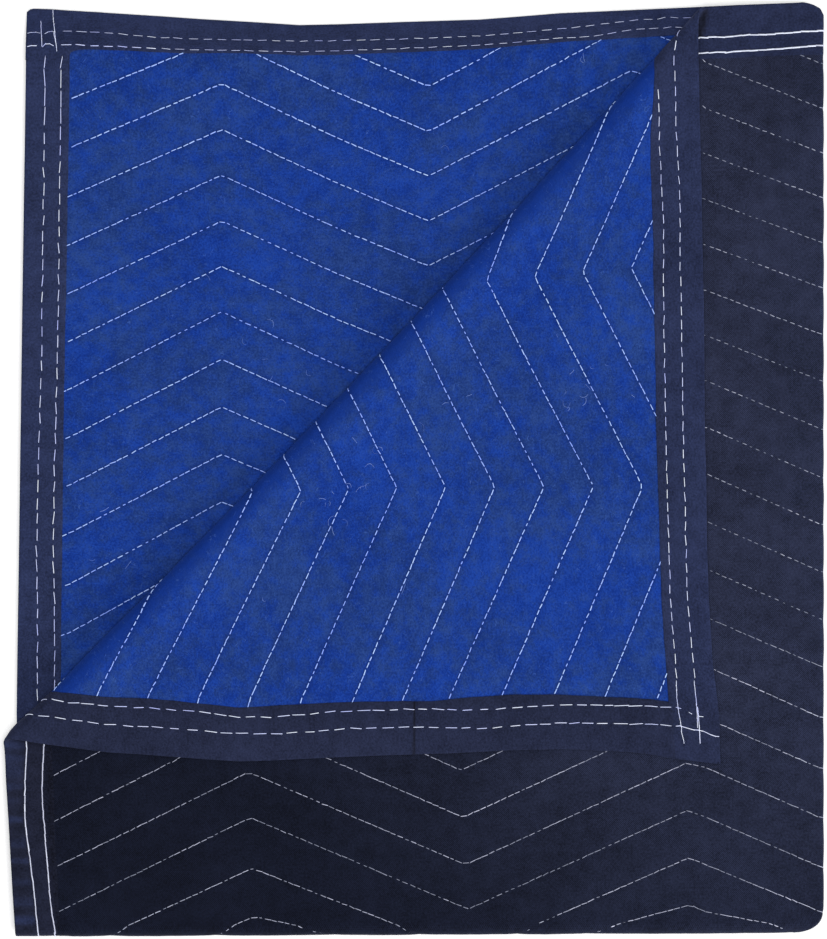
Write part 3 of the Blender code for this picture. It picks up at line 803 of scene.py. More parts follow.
@dataclass(frozen=True)
class QuiltedPanel:
    """One face of the blanket: a quilted cloth from edge to edge.

    Heights are off the middle of the blanket, in millimetres.
    """

    face: Face
    sheet: FoldedSheet
    pattern: ChevronPattern
    inside: float = 0.15
    plain: float = 1.8
    lower_plain: float = 1.8
    groove: float = 0.95
    crown: float = 2.1
    under_tape: float = 0.95
    hem_reach: float = 6.0
    hem_rise: float = 0.35
    quilt_edge: float = 22.0
    inset: float = 1.5
    inner_inset: float = 5.0
    column_step: float = 25.0
    row_parts: tuple[float, ...] = (0.0, 0.34, 0.66)
    finer: int = 4
    row_gap: float = 46.0
    pattern_end: float = -16.0
    fade: tuple[float, float] = (-10.0, -2.0)
    fold_swell: float = 0.7
    fold_reach: float = 12.0
    turn_parts: tuple[float, float] = (0.02, 0.98)
    painted_roll_shade_band: tuple[float, float] = (13.0, 33.0)
    lower_cuts: tuple[float, ...] = (-30.0, -60.0, -200.0, -420.0, -640.0, -860.0)
    under_reach: float = 22.0
    under_roll: float = 60.0
    shown_margin: float = 14.0
    uncovered: tuple[float, float] = (292.0, -282.0)
    pillow_power: float = 0.42
    pillow_swell: float = 0.07
    fine_crease: float = 0.10
    groove_width: float = 2.6
    band_steps: int = 6
    roll_steps: int = 12
    swell: Ripple = Ripple(60.0, 220.0, 11)
    crease: Ripple = Ripple(14.0, 46.0, 12)

    def build(self, name: str, node: str, material: Material) -> Item:
        """Model the panel, fold it and dress it.

        Args:
            name: the piece's name.
            node: the CAD node that it stands for.
            material: its finish.

        Returns:
            The finished piece.
        """
        shape = self._flat_slab()
        self._refine(shape)
        self._cut_bands(shape)
        self._lay_out(shape)
        cut_along_roll(shape, self.sheet, self.roll_steps)
        divide_wide(shape, "BEAUTY")
        mesh = mesh_of(shape, name)
        self._fold(mesh)
        piece = finish_piece(mesh, name, material)
        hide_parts(node)
        return piece

    def _flat_slab(self) -> Shape:
        """Flat slab of the cloth; its outer face lies at height 1."""
        columns: list[float] = []
        middle = np.array([4.0])
        for index in range(len(self.pattern.turns()) - 1):
            start, _ = self.pattern.place(self.sheet, middle, np.array([float(index)]))
            end, _ = self.pattern.place(self.sheet, middle, np.array([index + 1.0]))
            count = max(1, round(abs(float(end[0] - start[0])) / self.column_step))
            parts = {part / count for part in range(count)} | set(self.turn_parts)
            columns += [index + part for part in sorted(parts)]
        columns.append(float(len(self.pattern.turns()) - 1))
        rows = [
            row + part
            for row in range(self.pattern.first_row, self.pattern.last_row)
            for part in self.row_parts
        ]
        shape = bmesh.new()
        bmesh.ops.create_grid(
            shape, x_segments=len(columns) - 1, y_segments=len(rows) - 1, size=0.5
        )
        row_layer = shape.verts.layers.float.new("row")
        verts = list(shape.verts)
        across = [columns[round((vert.co.x + 0.5) * (len(columns) - 1))] for vert in verts]
        down = [rows[round((vert.co.y + 0.5) * (len(rows) - 1))] for vert in verts]
        u, v = self.pattern.place(self.sheet, np.array(down, float), np.array(across))
        for vert, row, flat_u, flat_v in zip(verts, down, u, v):
            vert[row_layer] = row
            vert.co = (flat_u, flat_v, 0.0)
        self._trim(shape)
        self._extend_down(shape)
        whole = list(shape.verts) + list(shape.edges) + list(shape.faces)
        grown = bmesh.ops.extrude_face_region(shape, geom=whole, use_keep_orig=True)
        for item in grown["geom"]:
            if isinstance(item, bmesh.types.BMVert):
                item.co.z = 1.0
        put_in_order(shape)
        return shape

    def _trim(self, shape: Shape) -> None:
        """Cut the pattern to the outline of the cloth."""
        left = -(OUTER_UPPER.half_width - self.inset)
        right = INNER_UPPER.half_width - self.inner_inset
        top = OUTER_UPPER.half_length - self.inset
        for point, normal in (
            ((left, 0, 0), (-1, 0, 0)),
            ((right, 0, 0), (1, 0, 0)),
            ((0, top, 0), (0, 1, 0)),
            ((0, self.pattern_end, 0), (0, -1, 0)),
        ):
            cut(shape, Vector(point), Vector(normal), clear=True)

    def _extend_down(self, shape: Shape) -> None:
        """Add the plain lower half, hidden or lying on the floor."""
        low = -(OUTER_LOWER.half_length - self.inset)
        border = [
            edge
            for edge in shape.edges
            if len(edge.link_faces) == 1
            and all(abs(vert.co.y - self.pattern_end) < 1e-3 for vert in edge.verts)
        ]
        grown = bmesh.ops.extrude_edge_only(shape, edges=border)
        for item in grown["geom"]:
            if isinstance(item, bmesh.types.BMVert):
                item.co.y = low
        for v in self.lower_cuts:
            cut(shape, Vector((0, v, 0)), Vector((0, 1, 0)))

    def _shown(self, u: float, v: float) -> bool:
        """Whether a place of the outer face can be seen from above."""
        flat_u, flat_v = np.array([u]), np.array([v])
        side, end = inside_tapes(flat_u, flat_v, self.face)
        if min(side[0], end[0]) < -self.under_reach or v < self.pattern_end + 1:
            return False
        p, y = self.sheet.lay(flat_u, flat_v)
        past = float(self.sheet.roll_distance(p, y)[0])
        centre, margin = self.sheet.roll_centre, self.shown_margin
        if self.face is Face.FELT:
            return past > -self.under_roll if u > 0 else past > centre - margin
        x, up = self.sheet.plan(p, y)
        right, low = self.uncovered
        uncovered = float(x[0]) > right or float(up[0]) < low
        return u < margin and past < centre + margin and uncovered

    def _refine(self, shape: Shape) -> None:
        """Divide the faces that show, so that they can carry the quilting."""
        chosen = []
        for face in shape.faces:
            if len(face.verts) != 4 or any(vert.co.z < 0.5 for vert in face.verts):
                continue
            centre = face.calc_center_median()
            if self._shown(centre.x, centre.y):
                chosen.append(face)
        edges = list(dict.fromkeys(edge for face in chosen for edge in face.edges))
        bmesh.ops.subdivide_edges(shape, edges=edges, cuts=self.finer, use_grid_fill=True)
        put_in_order(shape)

    def _cut_bands(self, shape: Shape) -> None:
        """Cut along the two folds and the droop."""
        steps = range(-self.band_steps, self.band_steps + 1)
        for step in steps:
            reach = step / self.band_steps
            cut_near(shape, Vector((reach * self.sheet.side_band, 0, 0)), Vector((1, 0, 0)))
            cut_near(shape, Vector((0, reach * self.sheet.end_band, 0)), Vector((0, 1, 0)))
        for reach, _drop in self.sheet.droop_drop[1:]:
            line = Vector((0, INNER_UPPER.half_length - reach, 0))
            cut_near(shape, line, Vector((0, 1, 0)))

    def _lay_out(self, shape: Shape) -> None:
        """Remember flat places, and move the mesh to its laid ones."""
        flat_u = shape.verts.layers.float.new("flat_u")
        flat_v = shape.verts.layers.float.new("flat_v")
        verts = list(shape.verts)
        u = np.array([vert.co.x for vert in verts])
        v = np.array([vert.co.y for vert in verts])
        p, y = self.sheet.lay(u, v)
        for vert, laid_p, laid_y in zip(verts, p, y):
            vert[flat_u] = vert.co.x
            vert[flat_v] = vert.co.y
            vert.co.x, vert.co.y = laid_p, laid_y

    def _fold(self, mesh: Mesh) -> None:
        """Give the flat mesh its relief, its map and its folded shape."""
        outer = vertex_places(mesh)[:, 2] > 0.5
        u, v = vertex_values(mesh, "flat_u"), vertex_values(mesh, "flat_v")
        row = vertex_values(mesh, "row")
        height, groove = self.relief(u, v, row)
        height = np.where(outer, height, self.inside)
        add_flat_map(mesh, u, v)
        # How near each vertex is to a stitch groove; the felt's finish paints shade there.
        add_values(mesh, "groove", groove * outer)
        p, y = self.sheet.lay(u, v)
        past = self.sheet.roll_distance(p, y)
        # Share of painted shade on the roll of the turned-down corner and just past it.
        start, full = self.painted_roll_shade_band
        turned = (1 - smooth((past - start) / (full - start))) * (u < 0) * (v > 0)
        add_values(mesh, "turned", turned)
        set_places(mesh, self.sheet.fold(u, v, height * self.face.value))

    def relief(self, u: Array, v: Array, row: Array) -> Pair:
        """Height of the outer face, and how near it is to a stitch row.

        Args:
            u: distances across the flat sheet.
            v: distances up the flat sheet.
            row: stitch rows at the same places.

        Returns:
            Heights off the middle, and shares from 0 to 1.
        """
        part = row - np.floor(row)
        pillow = np.sin(math.pi * part) ** self.pillow_power
        side, end = inside_tapes(u, v, self.face)
        inside = np.minimum(side, end)
        pillow *= 0.93 + self.pillow_swell * self.swell.at(u, v)
        rise = self.hem_rise + (1 - self.hem_rise) * smooth(inside / self.quilt_edge)
        quilted = self.groove + (self.crown - self.groove) * pillow * rise
        quilted += self.fine_crease * self.crease.at(u, v) * pillow
        start, full = self.fade
        kept = smooth((v - start) / (full - start))
        swell = self.fold_swell * np.exp(-((v / self.fold_reach) ** 2))
        quilted += swell * (self.face is Face.WEAVE)
        plain = np.where(v < full, self.lower_plain, self.plain)
        height = plain + (quilted - plain) * kept
        step = smooth((inside + self.hem_reach) / self.hem_reach)
        height = self.under_tape + (height - self.under_tape) * step
        gap = np.minimum(part, 1 - part) * self.row_gap
        return height, np.exp(-((gap / self.groove_width) ** 2)) * kept * step


def put_in_order(shape: Shape) -> None:
    """Sort a mesh by place, because extruding leaves its parts in any order."""
    for parts, place in (
        (shape.verts, lambda vert: vert.co[:]),
        (shape.edges, lambda edge: (edge.verts[0].co + edge.verts[1].co)[:]),
        (shape.faces, lambda face: face.calc_center_median()[:]),
    ):
        ranks = {part: rank for rank, part in enumerate(sorted(parts, key=place))}
        parts.sort(key=lambda part, ranks=ranks: ranks[part])
        parts.index_update()


def cut(
    shape: Shape,
    point: Vector,
    normal: Vector,
    faces: list[bmesh.types.BMFace] | None = None,
    clear: bool = False,
) -> None:
    """Cut a flat mesh by an upright plane, and drop what lies past it if asked."""
    chosen = list(shape.faces) if faces is None else faces
    edges = dict.fromkeys(edge for face in chosen for edge in face.edges)
    verts = dict.fromkeys(vert for face in chosen for vert in face.verts)
    bmesh.ops.bisect_plane(
        shape,
        geom=[*verts, *edges, *chosen],
        dist=0.01,
        plane_co=point,
        plane_no=normal,
        clear_outer=clear,
        clear_inner=False,
    )


def cut_near(
    shape: Shape, point: Vector, normal: Vector, slack: float = 0.005,
    furthest: float = math.inf,
) -> None:
    """Cut only the faces that the plane meets.

    Args:
        shape: the mesh.
        point: a place on the plane.
        normal: the way the plane faces.
        slack: how far a face must reach past both sides of the plane.
        furthest: the largest distance across at which a face is still cut.
    """
    level = point.dot(normal)
    chosen = []
    for face in shape.faces:
        if face.verts[0].co.x > furthest:
            continue
        sides = [vert.co.dot(normal) - level for vert in face.verts]
        if min(sides) < -slack and max(sides) > slack:
            chosen.append(face)
    if chosen:
        cut(shape, point, normal, chosen)


def cut_along_roll(shape: Shape, sheet: FoldedSheet, steps: int) -> None:
    """Cut a laid mesh along the roll of the turned-down corner."""
    start, _along, out = sheet.roll_axes()
    centre, arc = sheet.roll_centre, sheet.roll_arc
    reaches = [centre + arc * step / steps for step in range(steps + 1)]
    reaches += [centre + arc + step for step in ROLL_SETTLE_CUTS]
    for reach in reaches:
        point, normal = sheet.laid_plane(start + out * reach, out)
        normal.normalize()
        cut_near(shape, point, normal, slack=0.02, furthest=5.0)


ROLL_SETTLE_CUTS = (6.0, 14.0, 24.0, 36.0, 50.0, 74.0)
LEG_SECTION: Table = (
    (1, 0, 0, 0, 0.0), (1, 0, 0, 0, -0.5), (0.55, 0.45, 0, 0, 0.0), (0.2, 0.8, 0, 0, 0.0),
    (0, 1, 0, 0, 0.0), (0, 1, 0, 0, -2.5), (0, 0.66, 0.34, 0, 0.0), (0, 0.34, 0.66, 0, 0.0),
    (0, 0, 1, 0, 2.5), (0, 0, 1, 0, 0.0), (0, 0, 1, 0, -2.5), (0, 0, 0.7, 0.3, 0.0),
    (0, 0, 0.45, 0.55, 0.0), (0, 0, 0.22, 0.78, 0.0), (0, 0, 0, 1, 3.0), (0, 0, 0, 1, 1.4),
)
"""Places across a leg: shares of its edge, inner row, outer row and fold, and an offset."""


@dataclass(frozen=True)
class BindingTape:
    """A tape folded over one edge of the sheet, puckered along its seams."""

    edge: Edge
    sheet: FoldedSheet
    step: float = 3.6
    hidden_step: float = 14.0
    fold_steps: int = 18
    fold_reach: float = 9.5
    outer: float = 1.95
    inner: float = 1.25
    nose: Table = ((0.35, 1.55), (0.0, 0.6), (0.0, -0.6), (0.35, -1.55))
    lining: Table = (
        (20.0, -1.25), (1.9, -1.25), (0.7, -0.7), (0.7, 0.7), (1.9, 1.25), (20.0, 1.25),
    )
    seam_depth: float = 0.42
    seam_width: float = 1.9
    lip_depth: float = 0.35
    corner_reach: float = 5.0
    joint: float = 686.0
    joint_step: float = 0.3
    joint_slant: float = -0.06
    joint_gaps: tuple[float, ...] = (-3.2, -2.0, -1.2, -0.4, 0.4, 1.2, 2.0)
    joint_darker: float = 0.95
    joint_width: float = 0.9
    pucker_height: float = 0.16
    wave_height: float = 0.10
    edge_wave: float = 0.45
    crease_painted_shade: float = 1.2
    pucker: Ripple = Ripple(9.0, 26.0, 31)
    wave: Ripple = Ripple(40.0, 160.0, 32)
    wrinkle: Ripple = Ripple(11.0, 19.0, 33)
    corner_darker: float = 0.35
    corner_width: float = 45.0
    roll_steps: int = 12

    def build(self, name: str, material: Material) -> Item:
        """Model the tape, fold it with the sheet and dress it."""
        ring = self._ring()
        stations = np.array(self._stations())
        shape = bmesh.new()
        bmesh.ops.create_grid(
            shape, x_segments=len(stations) - 1, y_segments=len(ring), size=0.5
        )
        layers = [shape.verts.layers.float.new(key) for key in ("height", "flat_u", "flat_v")]
        verts = list(shape.verts)
        along = np.array([round((vert.co.x + 0.5) * (len(stations) - 1)) for vert in verts])
        around = np.array([round((vert.co.y + 0.5) * len(ring)) for vert in verts]) % len(ring)
        u, v, w = self._flat(stations[along], ring[around])
        p, y = self.sheet.lay(u, v)
        for index, vert in enumerate(verts):
            for layer, value in zip(layers, (w[index], u[index], v[index])):
                vert[layer] = value
            vert.co = (p[index], y[index], around[index] * 9.0)
        bmesh.ops.remove_doubles(shape, verts=verts, dist=1e-4)
        open_edges = [edge for edge in shape.edges if len(edge.link_faces) == 1]
        bmesh.ops.holes_fill(shape, edges=open_edges, sides=0)
        for vert in shape.verts:
            vert.co.z = vert[layers[0]]
        if self.edge in (Edge.END_UPPER, Edge.SIDE_OUTER):
            cut_along_roll(shape, self.sheet, self.roll_steps)
        divide_wide(shape, "EAR_CLIP")
        mesh = mesh_of(shape, name)
        u, v = vertex_values(mesh, "flat_u"), vertex_values(mesh, "flat_v")
        w = vertex_values(mesh, "height")
        add_flat_map(mesh, u, v)
        add_values(mesh, "tone", self._tone(u, v, w))
        set_places(mesh, self.sheet.fold(u, v, w))
        piece = finish_piece(mesh, name, material)
        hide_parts(self.edge.value)
        return piece

    def _tone(self, u: Array, v: Array, w: Array) -> Array:
        """Tone of the tape at flat places: darker in its joint, with painted shade in its
        creases, and painted light and shade over the wrinkles of the woven side leg's outer
        strip.
        """
        sizes = TAPE_SIZES[self.edge]
        tone = np.where(w > 0, sizes.felt.tone, sizes.weave.tone)
        tone -= sizes.flap_darker * ((w > 0) & (u < 0))
        if self.edge is Edge.END_UPPER:
            tone -= self.corner_darker * smooth((-u - 850.0) / self.corner_width) * (w > 0)
        if self.edge is Edge.SIDE_OUTER:
            slanted = v - self.joint + self.joint_slant * (OUTER_UPPER.half_width + u - 45.0)
            tone -= self.joint_darker * np.exp(-((slanted / self.joint_width) ** 2)) * (w > 0)
            leg = sizes.weave
            reach = OUTER_UPPER.half_width + u
            strip = smooth((reach - read(v, leg.inner)) / 4)
            rim = smooth((read(v, leg.outer) - reach) / 4)
            # The rim is paler, and the wrinkle term paints bands of light and shade over the
            # outer strip's wrinkles.
            rim *= leg.rim_paler + 0.9 * leg.wrinkle * self.wrinkle.at(v, reach * 0.12)
            tone += (rim - leg.strip_darker * strip) * (w < 0)
        # Painted shade along the creases of the woven leg.
        for start, low, end, high, wide, _deep in sizes.creases:
            length = OUTER_UPPER.half_length
            near = segment_distance(u, v, (start, length - low), (end, length - high))
            tone -= self.crease_painted_shade * np.exp(-((near / wide) ** 2)) * (w < 0)
        return tone

    def _ring(self) -> Array:
        """Section of the tape, one row a corner.

        Returns:
            The columns of LEG_SECTION, the height off the middle, and 1 where puckered.
        """
        felt, weave = (
            [(*place, side * self.outer, 1.0) for place in LEG_SECTION] for side in (1.0, -1.0)
        )
        nose = [(0, 0, 0, 1, past, height, 0.0) for past, height in self.nose]
        lining = [(0, 0, 0, 1, past, height, 0.0) for past, height in self.lining]
        ends = [(1, 0, 0, 0, 0.0, side * self.inner, 0.0) for side in (-1.0, 1.0)]
        return np.array(felt + nose + weave[::-1] + ends[:1] + lining + ends[1:], float)

    def _stations(self) -> list[float]:
        """Places along the tape, closer together over the folds."""
        sizes = TAPE_SIZES[self.edge]
        reach = self.fold_reach
        below = self.step if self.edge is Edge.END_UPPER else self.hidden_step
        above = self.hidden_step if self.edge is Edge.END_LOWER else self.step
        lower = np.linspace(sizes.start, -reach, round((-reach - sizes.start) / below))
        upper = np.linspace(reach, sizes.end, round((sizes.end - reach) / above))
        bend = np.linspace(-reach, reach, self.fold_steps)[1:-1]
        extra = [self.joint + gap for gap in self.joint_gaps]
        extra = extra if self.edge is Edge.SIDE_OUTER else []
        return sorted([*lower, *bend, *upper, *extra])

    def _flat(self, s: Array, spots: Array) -> tuple[Array, Array, Array]:
        """Flat places of the tape's section points, with seams and puckers.

        Args:
            s: distances along the edge.
            spots: rows of the section, as _ring gives them.

        Returns:
            Distances across and up the flat sheet, and off its middle.
        """
        sizes = TAPE_SIZES[self.edge]
        side = np.sign(spots[:, 5])
        felt, shown = side > 0, spots[:, 6] > 0
        width, inner, outer = (
            np.where(felt, read(s, getattr(sizes.felt, key)), read(s, getattr(sizes.weave, key)))
            for key in ("width", "inner", "outer")
        )
        fold = read(s, sizes.fold)
        reach = spots[:, 4].copy()
        for column, distance in enumerate((width, inner, outer, fold)):
            reach += spots[:, column] * distance
        seam = np.zeros_like(reach)
        for row in (inner, outer):
            seam = np.maximum(seam, np.exp(-(((reach - row) / self.seam_width) ** 2)))
        lip = np.exp(-(((width - reach) / 1.2) ** 2))
        folds = np.where(felt, sizes.felt.wrinkle, sizes.weave.wrinkle)
        folds = folds * smooth((outer - reach) / 4) * self.wrinkle.at(s, reach * 0.12)
        swell = self.pucker_height * self.pucker.at(s, reach * 0.35)
        swell = swell + self.wave_height * self.wave.at(s, reach) + folds
        height = self.outer - self.seam_depth * seam - self.lip_depth * lip
        height += swell * (1 - 0.6 * lip) + tape_lift(self.edge, s, self.corner_reach)
        for start, low, end, high, wide, deep in sizes.creases:
            near = segment_distance(s, reach, (start, low), (end, high))
            height -= deep * np.exp(-((near / wide) ** 2)) * ~felt
        if self.edge is Edge.SIDE_OUTER:
            height += self.joint_step * smooth((s - self.joint + 0.8) / 1.2) * felt
        height = np.where(shown, np.maximum(height, self.inner + 0.12), np.abs(spots[:, 5]))
        low = (self.edge is Edge.END_LOWER) | ((s < 0) & (self.edge is not Edge.END_UPPER))
        height = np.where(low, np.minimum(height, self.outer), height)
        uneven = self.edge_wave * self.wave.at(s, np.full_like(s, 500.0))
        reach += np.where(shown & (reach > width - 4.0), uneven, 0.0)
        return *place_along(self.edge, s, reach), side * height


def tape_lift(edge: Edge, s: Array, reach: float = 5.0) -> Array:
    """How much higher the end tape lies where it passes over the side tapes."""
    if edge is not Edge.END_UPPER:
        return np.zeros_like(s)
    inside = np.where(s > 0, INNER_UPPER.half_width - s - 50.0, OUTER_UPPER.half_width + s - 56.0)
    return 0.45 * (1 - smooth(inside / reach))


def segment_distance(
    u: Array, v: Array, start: tuple[float, float], end: tuple[float, float]
) -> Array:
    """Distance of flat places from a straight line between two others."""
    run, rise = end[0] - start[0], end[1] - start[1]
    share = ((u - start[0]) * run + (v - start[1]) * rise) / (run * run + rise * rise)
    share = np.clip(share, 0.0, 1.0)
    return np.hypot(u - start[0] - share * run, v - start[1] - share * rise)


@dataclass(frozen=True)
class Stitch:
    """Size of one stitch that lies on the cloth, in millimetres.

    Shade runs from 0, deep, to 1, pale. Sunk is the share that is pulled into the cloth.
    """

    length: float
    period: float
    radius: float
    lift: float
    dive: float
    wander: float = 0.12
    uneven: float = 0.08
    shade: float = 0.5
    sunk: float = 0.0


@dataclass
class SewnThread:
    """Gathers thread lengths, and makes them one piece.

    Each length is kept as (u, v, angle, half length, side, height, radius, lift, dive,
    bend, shade).
    """

    sheet: FoldedSheet
    name: str
    seed: int
    lengths: list[tuple[float, ...]] = field(default_factory=list)
    drift: Ripple = Ripple(60.0, 260.0, 41)

    def sew(
        self, u: Array, v: Array, side: float, height: Array, stitch: Stitch,
        start: float | None = None, dimmer: float = 0.0,
    ) -> None:
        """Sew along a dense line of flat places.

        Args:
            u: distances across the flat sheet.
            v: distances up the flat sheet.
            side: the face's side of the sheet.
            height: height of the cloth's surface under the stitches.
            stitch: size of the stitches.
            start: where the first stitch lies, as a share of a period, or by chance.
            dimmer: how much deeper the row's shade is, and how many more stitches sink.
        """
        rng = np.random.default_rng(self.seed + len(self.lengths))
        run = np.concatenate(([0.0], np.cumsum(np.hypot(np.diff(u), np.diff(v)))))
        drift = self.drift.at(u, v)
        place = (rng.uniform(0.3, 0.7) if start is None else start) * stitch.period
        while place < run[-1]:
            half = stitch.length * (1 + stitch.uneven * rng.normal()) / 2
            sunk = rng.uniform() < stitch.sunk + dimmer * 0.5
            half *= 0.6 if sunk else 1.0
            ends = np.interp([place - half, place + half], run, u)
            rises = np.interp([place - half, place + half], run, v)
            dx, dy = ends[1] - ends[0], rises[1] - rises[0]
            size = math.hypot(dx, dy)
            if size > 0.3 * stitch.length:
                aside = stitch.wander * rng.normal()
                shade = stitch.shade - dimmer + 0.12 * rng.normal()
                shade += 0.16 * np.interp(place, run, drift)
                level = float(np.interp(place, run, height)) - (0.3 if sunk else 0.0)
                self.lengths.append((
                    ends.mean() - dy / size * aside, rises.mean() + dx / size * aside,
                    math.atan2(dy, dx) + 0.05 * rng.normal(), size / 2, side, level,
                    stitch.radius * rng.uniform(0.88, 1.12), stitch.lift, stitch.dive, 0.0,
                    shade - (0.3 if sunk else 0.0),
                ))
            place += stitch.period * (1 + stitch.uneven * rng.normal())

    def _template(self) -> Mesh:
        """One straight thread length along X, with closed rounded ends."""
        shape = bmesh.new()
        bmesh.ops.create_cone(
            shape, cap_ends=True, segments=5, radius1=THREAD_RADIUS, radius2=THREAD_RADIUS,
            depth=THREAD_LENGTH,
        )
        for level in (-0.34, -0.17, 0.0, 0.17, 0.34):
            cut(shape, Vector((0, 0, level)), Vector((0, 0, 1)))
        for vert in shape.verts:
            if abs(vert.co.z) > 0.39:
                vert.co.x *= 0.5
                vert.co.y *= 0.5
            vert.co = (vert.co.z, vert.co.y, vert.co.x)
        bmesh.ops.recalc_face_normals(shape, faces=list(shape.faces))
        return mesh_of(shape, self.name + "_length")

    def build(self, material: Material) -> Item:
        """Repeat the thread length, and lay each copy on the cloth."""
        template = self._template()
        holder = new_object(self.name + "_holder", template)
        copies = holder.modifiers.new("copies", "ARRAY")
        copies.count = len(self.lengths)
        copies.use_relative_offset = False
        copies.use_constant_offset = True
        copies.constant_offset_displace = (COPY_GAP, 0.0, 0.0)
        ready = holder.evaluated_get(bpy.context.evaluated_depsgraph_get())
        mesh = bpy.data.meshes.new_from_object(ready)
        bpy.data.objects.remove(holder, do_unlink=True)
        bpy.data.meshes.remove(template)
        mesh.name = self.name
        places = vertex_places(mesh).astype(float)
        index = np.round(places[:, 0] / COPY_GAP).astype(int)
        along = (places[:, 0] - index * COPY_GAP) / (THREAD_LENGTH / 2)
        table = np.array(self.lengths)[index].T
        u, v, angle, half, side, height, radius, lift, dive, bend, shade = table
        aside = places[:, 1] * radius / THREAD_RADIUS + bend * half * (along**2 - 0.4)
        rise = places[:, 2] * radius / THREAD_RADIUS
        reach = along * half
        u = u + reach * np.cos(angle) - aside * np.sin(angle)
        v = v + reach * np.sin(angle) + aside * np.cos(angle)
        w = side * (height + lift - dive * along**4 + rise)
        mesh.vertices.foreach_set("co", self.sheet.fold(u, v, w).astype(np.float32).ravel())
        add_values(mesh, "shade", shade)
        mesh.update()
        shape = bmesh.new()
        shape.from_mesh(mesh)
        bmesh.ops.recalc_face_normals(shape, faces=list(shape.faces))
        shape.to_mesh(mesh)
        shape.free()
        return finish_piece(mesh, self.name, material)


def dense(line: Table, step: float = LINE_STEP) -> Pair:
    """Points a short step apart along a line of flat places."""
    points = np.array(line, float)
    run = np.concatenate(([0.0], np.cumsum(np.hypot(*np.diff(points, axis=0).T))))
    along = np.linspace(0, run[-1], max(2, int(run[-1] / step)))
    return np.interp(along, run, points[:, 0]), np.interp(along, run, points[:, 1])


def runs(shown: Array) -> list[tuple[int, int]]:
    """Start and end of each unbroken stretch of true values."""
    edges = np.flatnonzero(np.diff(np.concatenate(([False], shown, [False])).astype(int)))
    return list(zip(edges[::2], edges[1::2]))


@dataclass(frozen=True)
class QuiltStitching:
    """The rows of quilting that show, on both faces."""

    sheet: FoldedSheet
    pattern: ChevronPattern
    level: float = 0.95
    felt: Stitch = Stitch(6.5, 8.2, 0.58, 0.36, 0.60, shade=0.55, sunk=0.04)
    weave: Stitch = Stitch(7.4, 8.2, 0.42, 0.28, 0.50, shade=0.55, sunk=0.08)
    weave_side: Stitch = Stitch(5.2, 8.2, 0.42, 0.26, 0.60, shade=0.42, sunk=0.14)
    uneven_rows: float = 0.10
    side_reach: float = 152.0
    solid_row: int = 11
    lowest: float = -6.0
    felt_lowest: float = 6.0
    roll_margin: float = 6.0
    under_roll: float = 30.0
    uncovered: tuple[float, float] = (318.0, -286.0)

    def build(self, felt_material: Material, weave_material: Material) -> list[Item]:
        """Sew every row on the faces that show."""
        pieces = []
        columns = np.linspace(0, len(self.pattern.turns()) - 1, 1800)
        for face, material, name in (
            (Face.FELT, felt_material, "quilt_stitches_felt"),
            (Face.WEAVE, weave_material, "quilt_stitches_weave"),
        ):
            thread = SewnThread(self.sheet, name, 100 + int(face.value))
            rng = np.random.default_rng(9)
            for row in range(self.pattern.first_row, self.pattern.last_row):
                dimmer = self.uneven_rows * abs(rng.normal())
                u, v = self.pattern.place(self.sheet, np.full_like(columns, row), columns)
                shown = self._shown(u, v, face)
                beside = (np.abs(u) < self.side_reach) & (row < self.solid_row)
                for near in (False, True):
                    stitch = self.weave_side if near else self.weave
                    stitch = self.felt if face is Face.FELT else stitch
                    for start, end in runs(shown & (beside == near)):
                        if end - start > 3:
                            level = np.full(end - start, self.level)
                            part = slice(start, end)
                            thread.sew(
                                u[part], v[part], face.value, level, stitch, dimmer=dimmer
                            )
            pieces.append(thread.build(material))
        return pieces

    def _shown(self, u: Array, v: Array, face: Face) -> Array:
        """Which places of a row are in sight."""
        side, end = inside_tapes(u, v, face)
        p, y = self.sheet.lay(u, v)
        past = self.sheet.roll_distance(p, y)
        centre = self.sheet.roll_centre
        inside = (np.minimum(side, end) > -1.0) & (v > self.lowest)
        turned = centre + self.roll_margin
        if face is Face.FELT:
            under = past > -self.under_roll
            return inside & (v > self.felt_lowest) & np.where(u > 0, under, past > turned)
        x, up = self.sheet.plan(p, y)
        right, low = self.uncovered
        return inside & (u < 3.0) & (past < turned) & ((x > right) | (up < low))


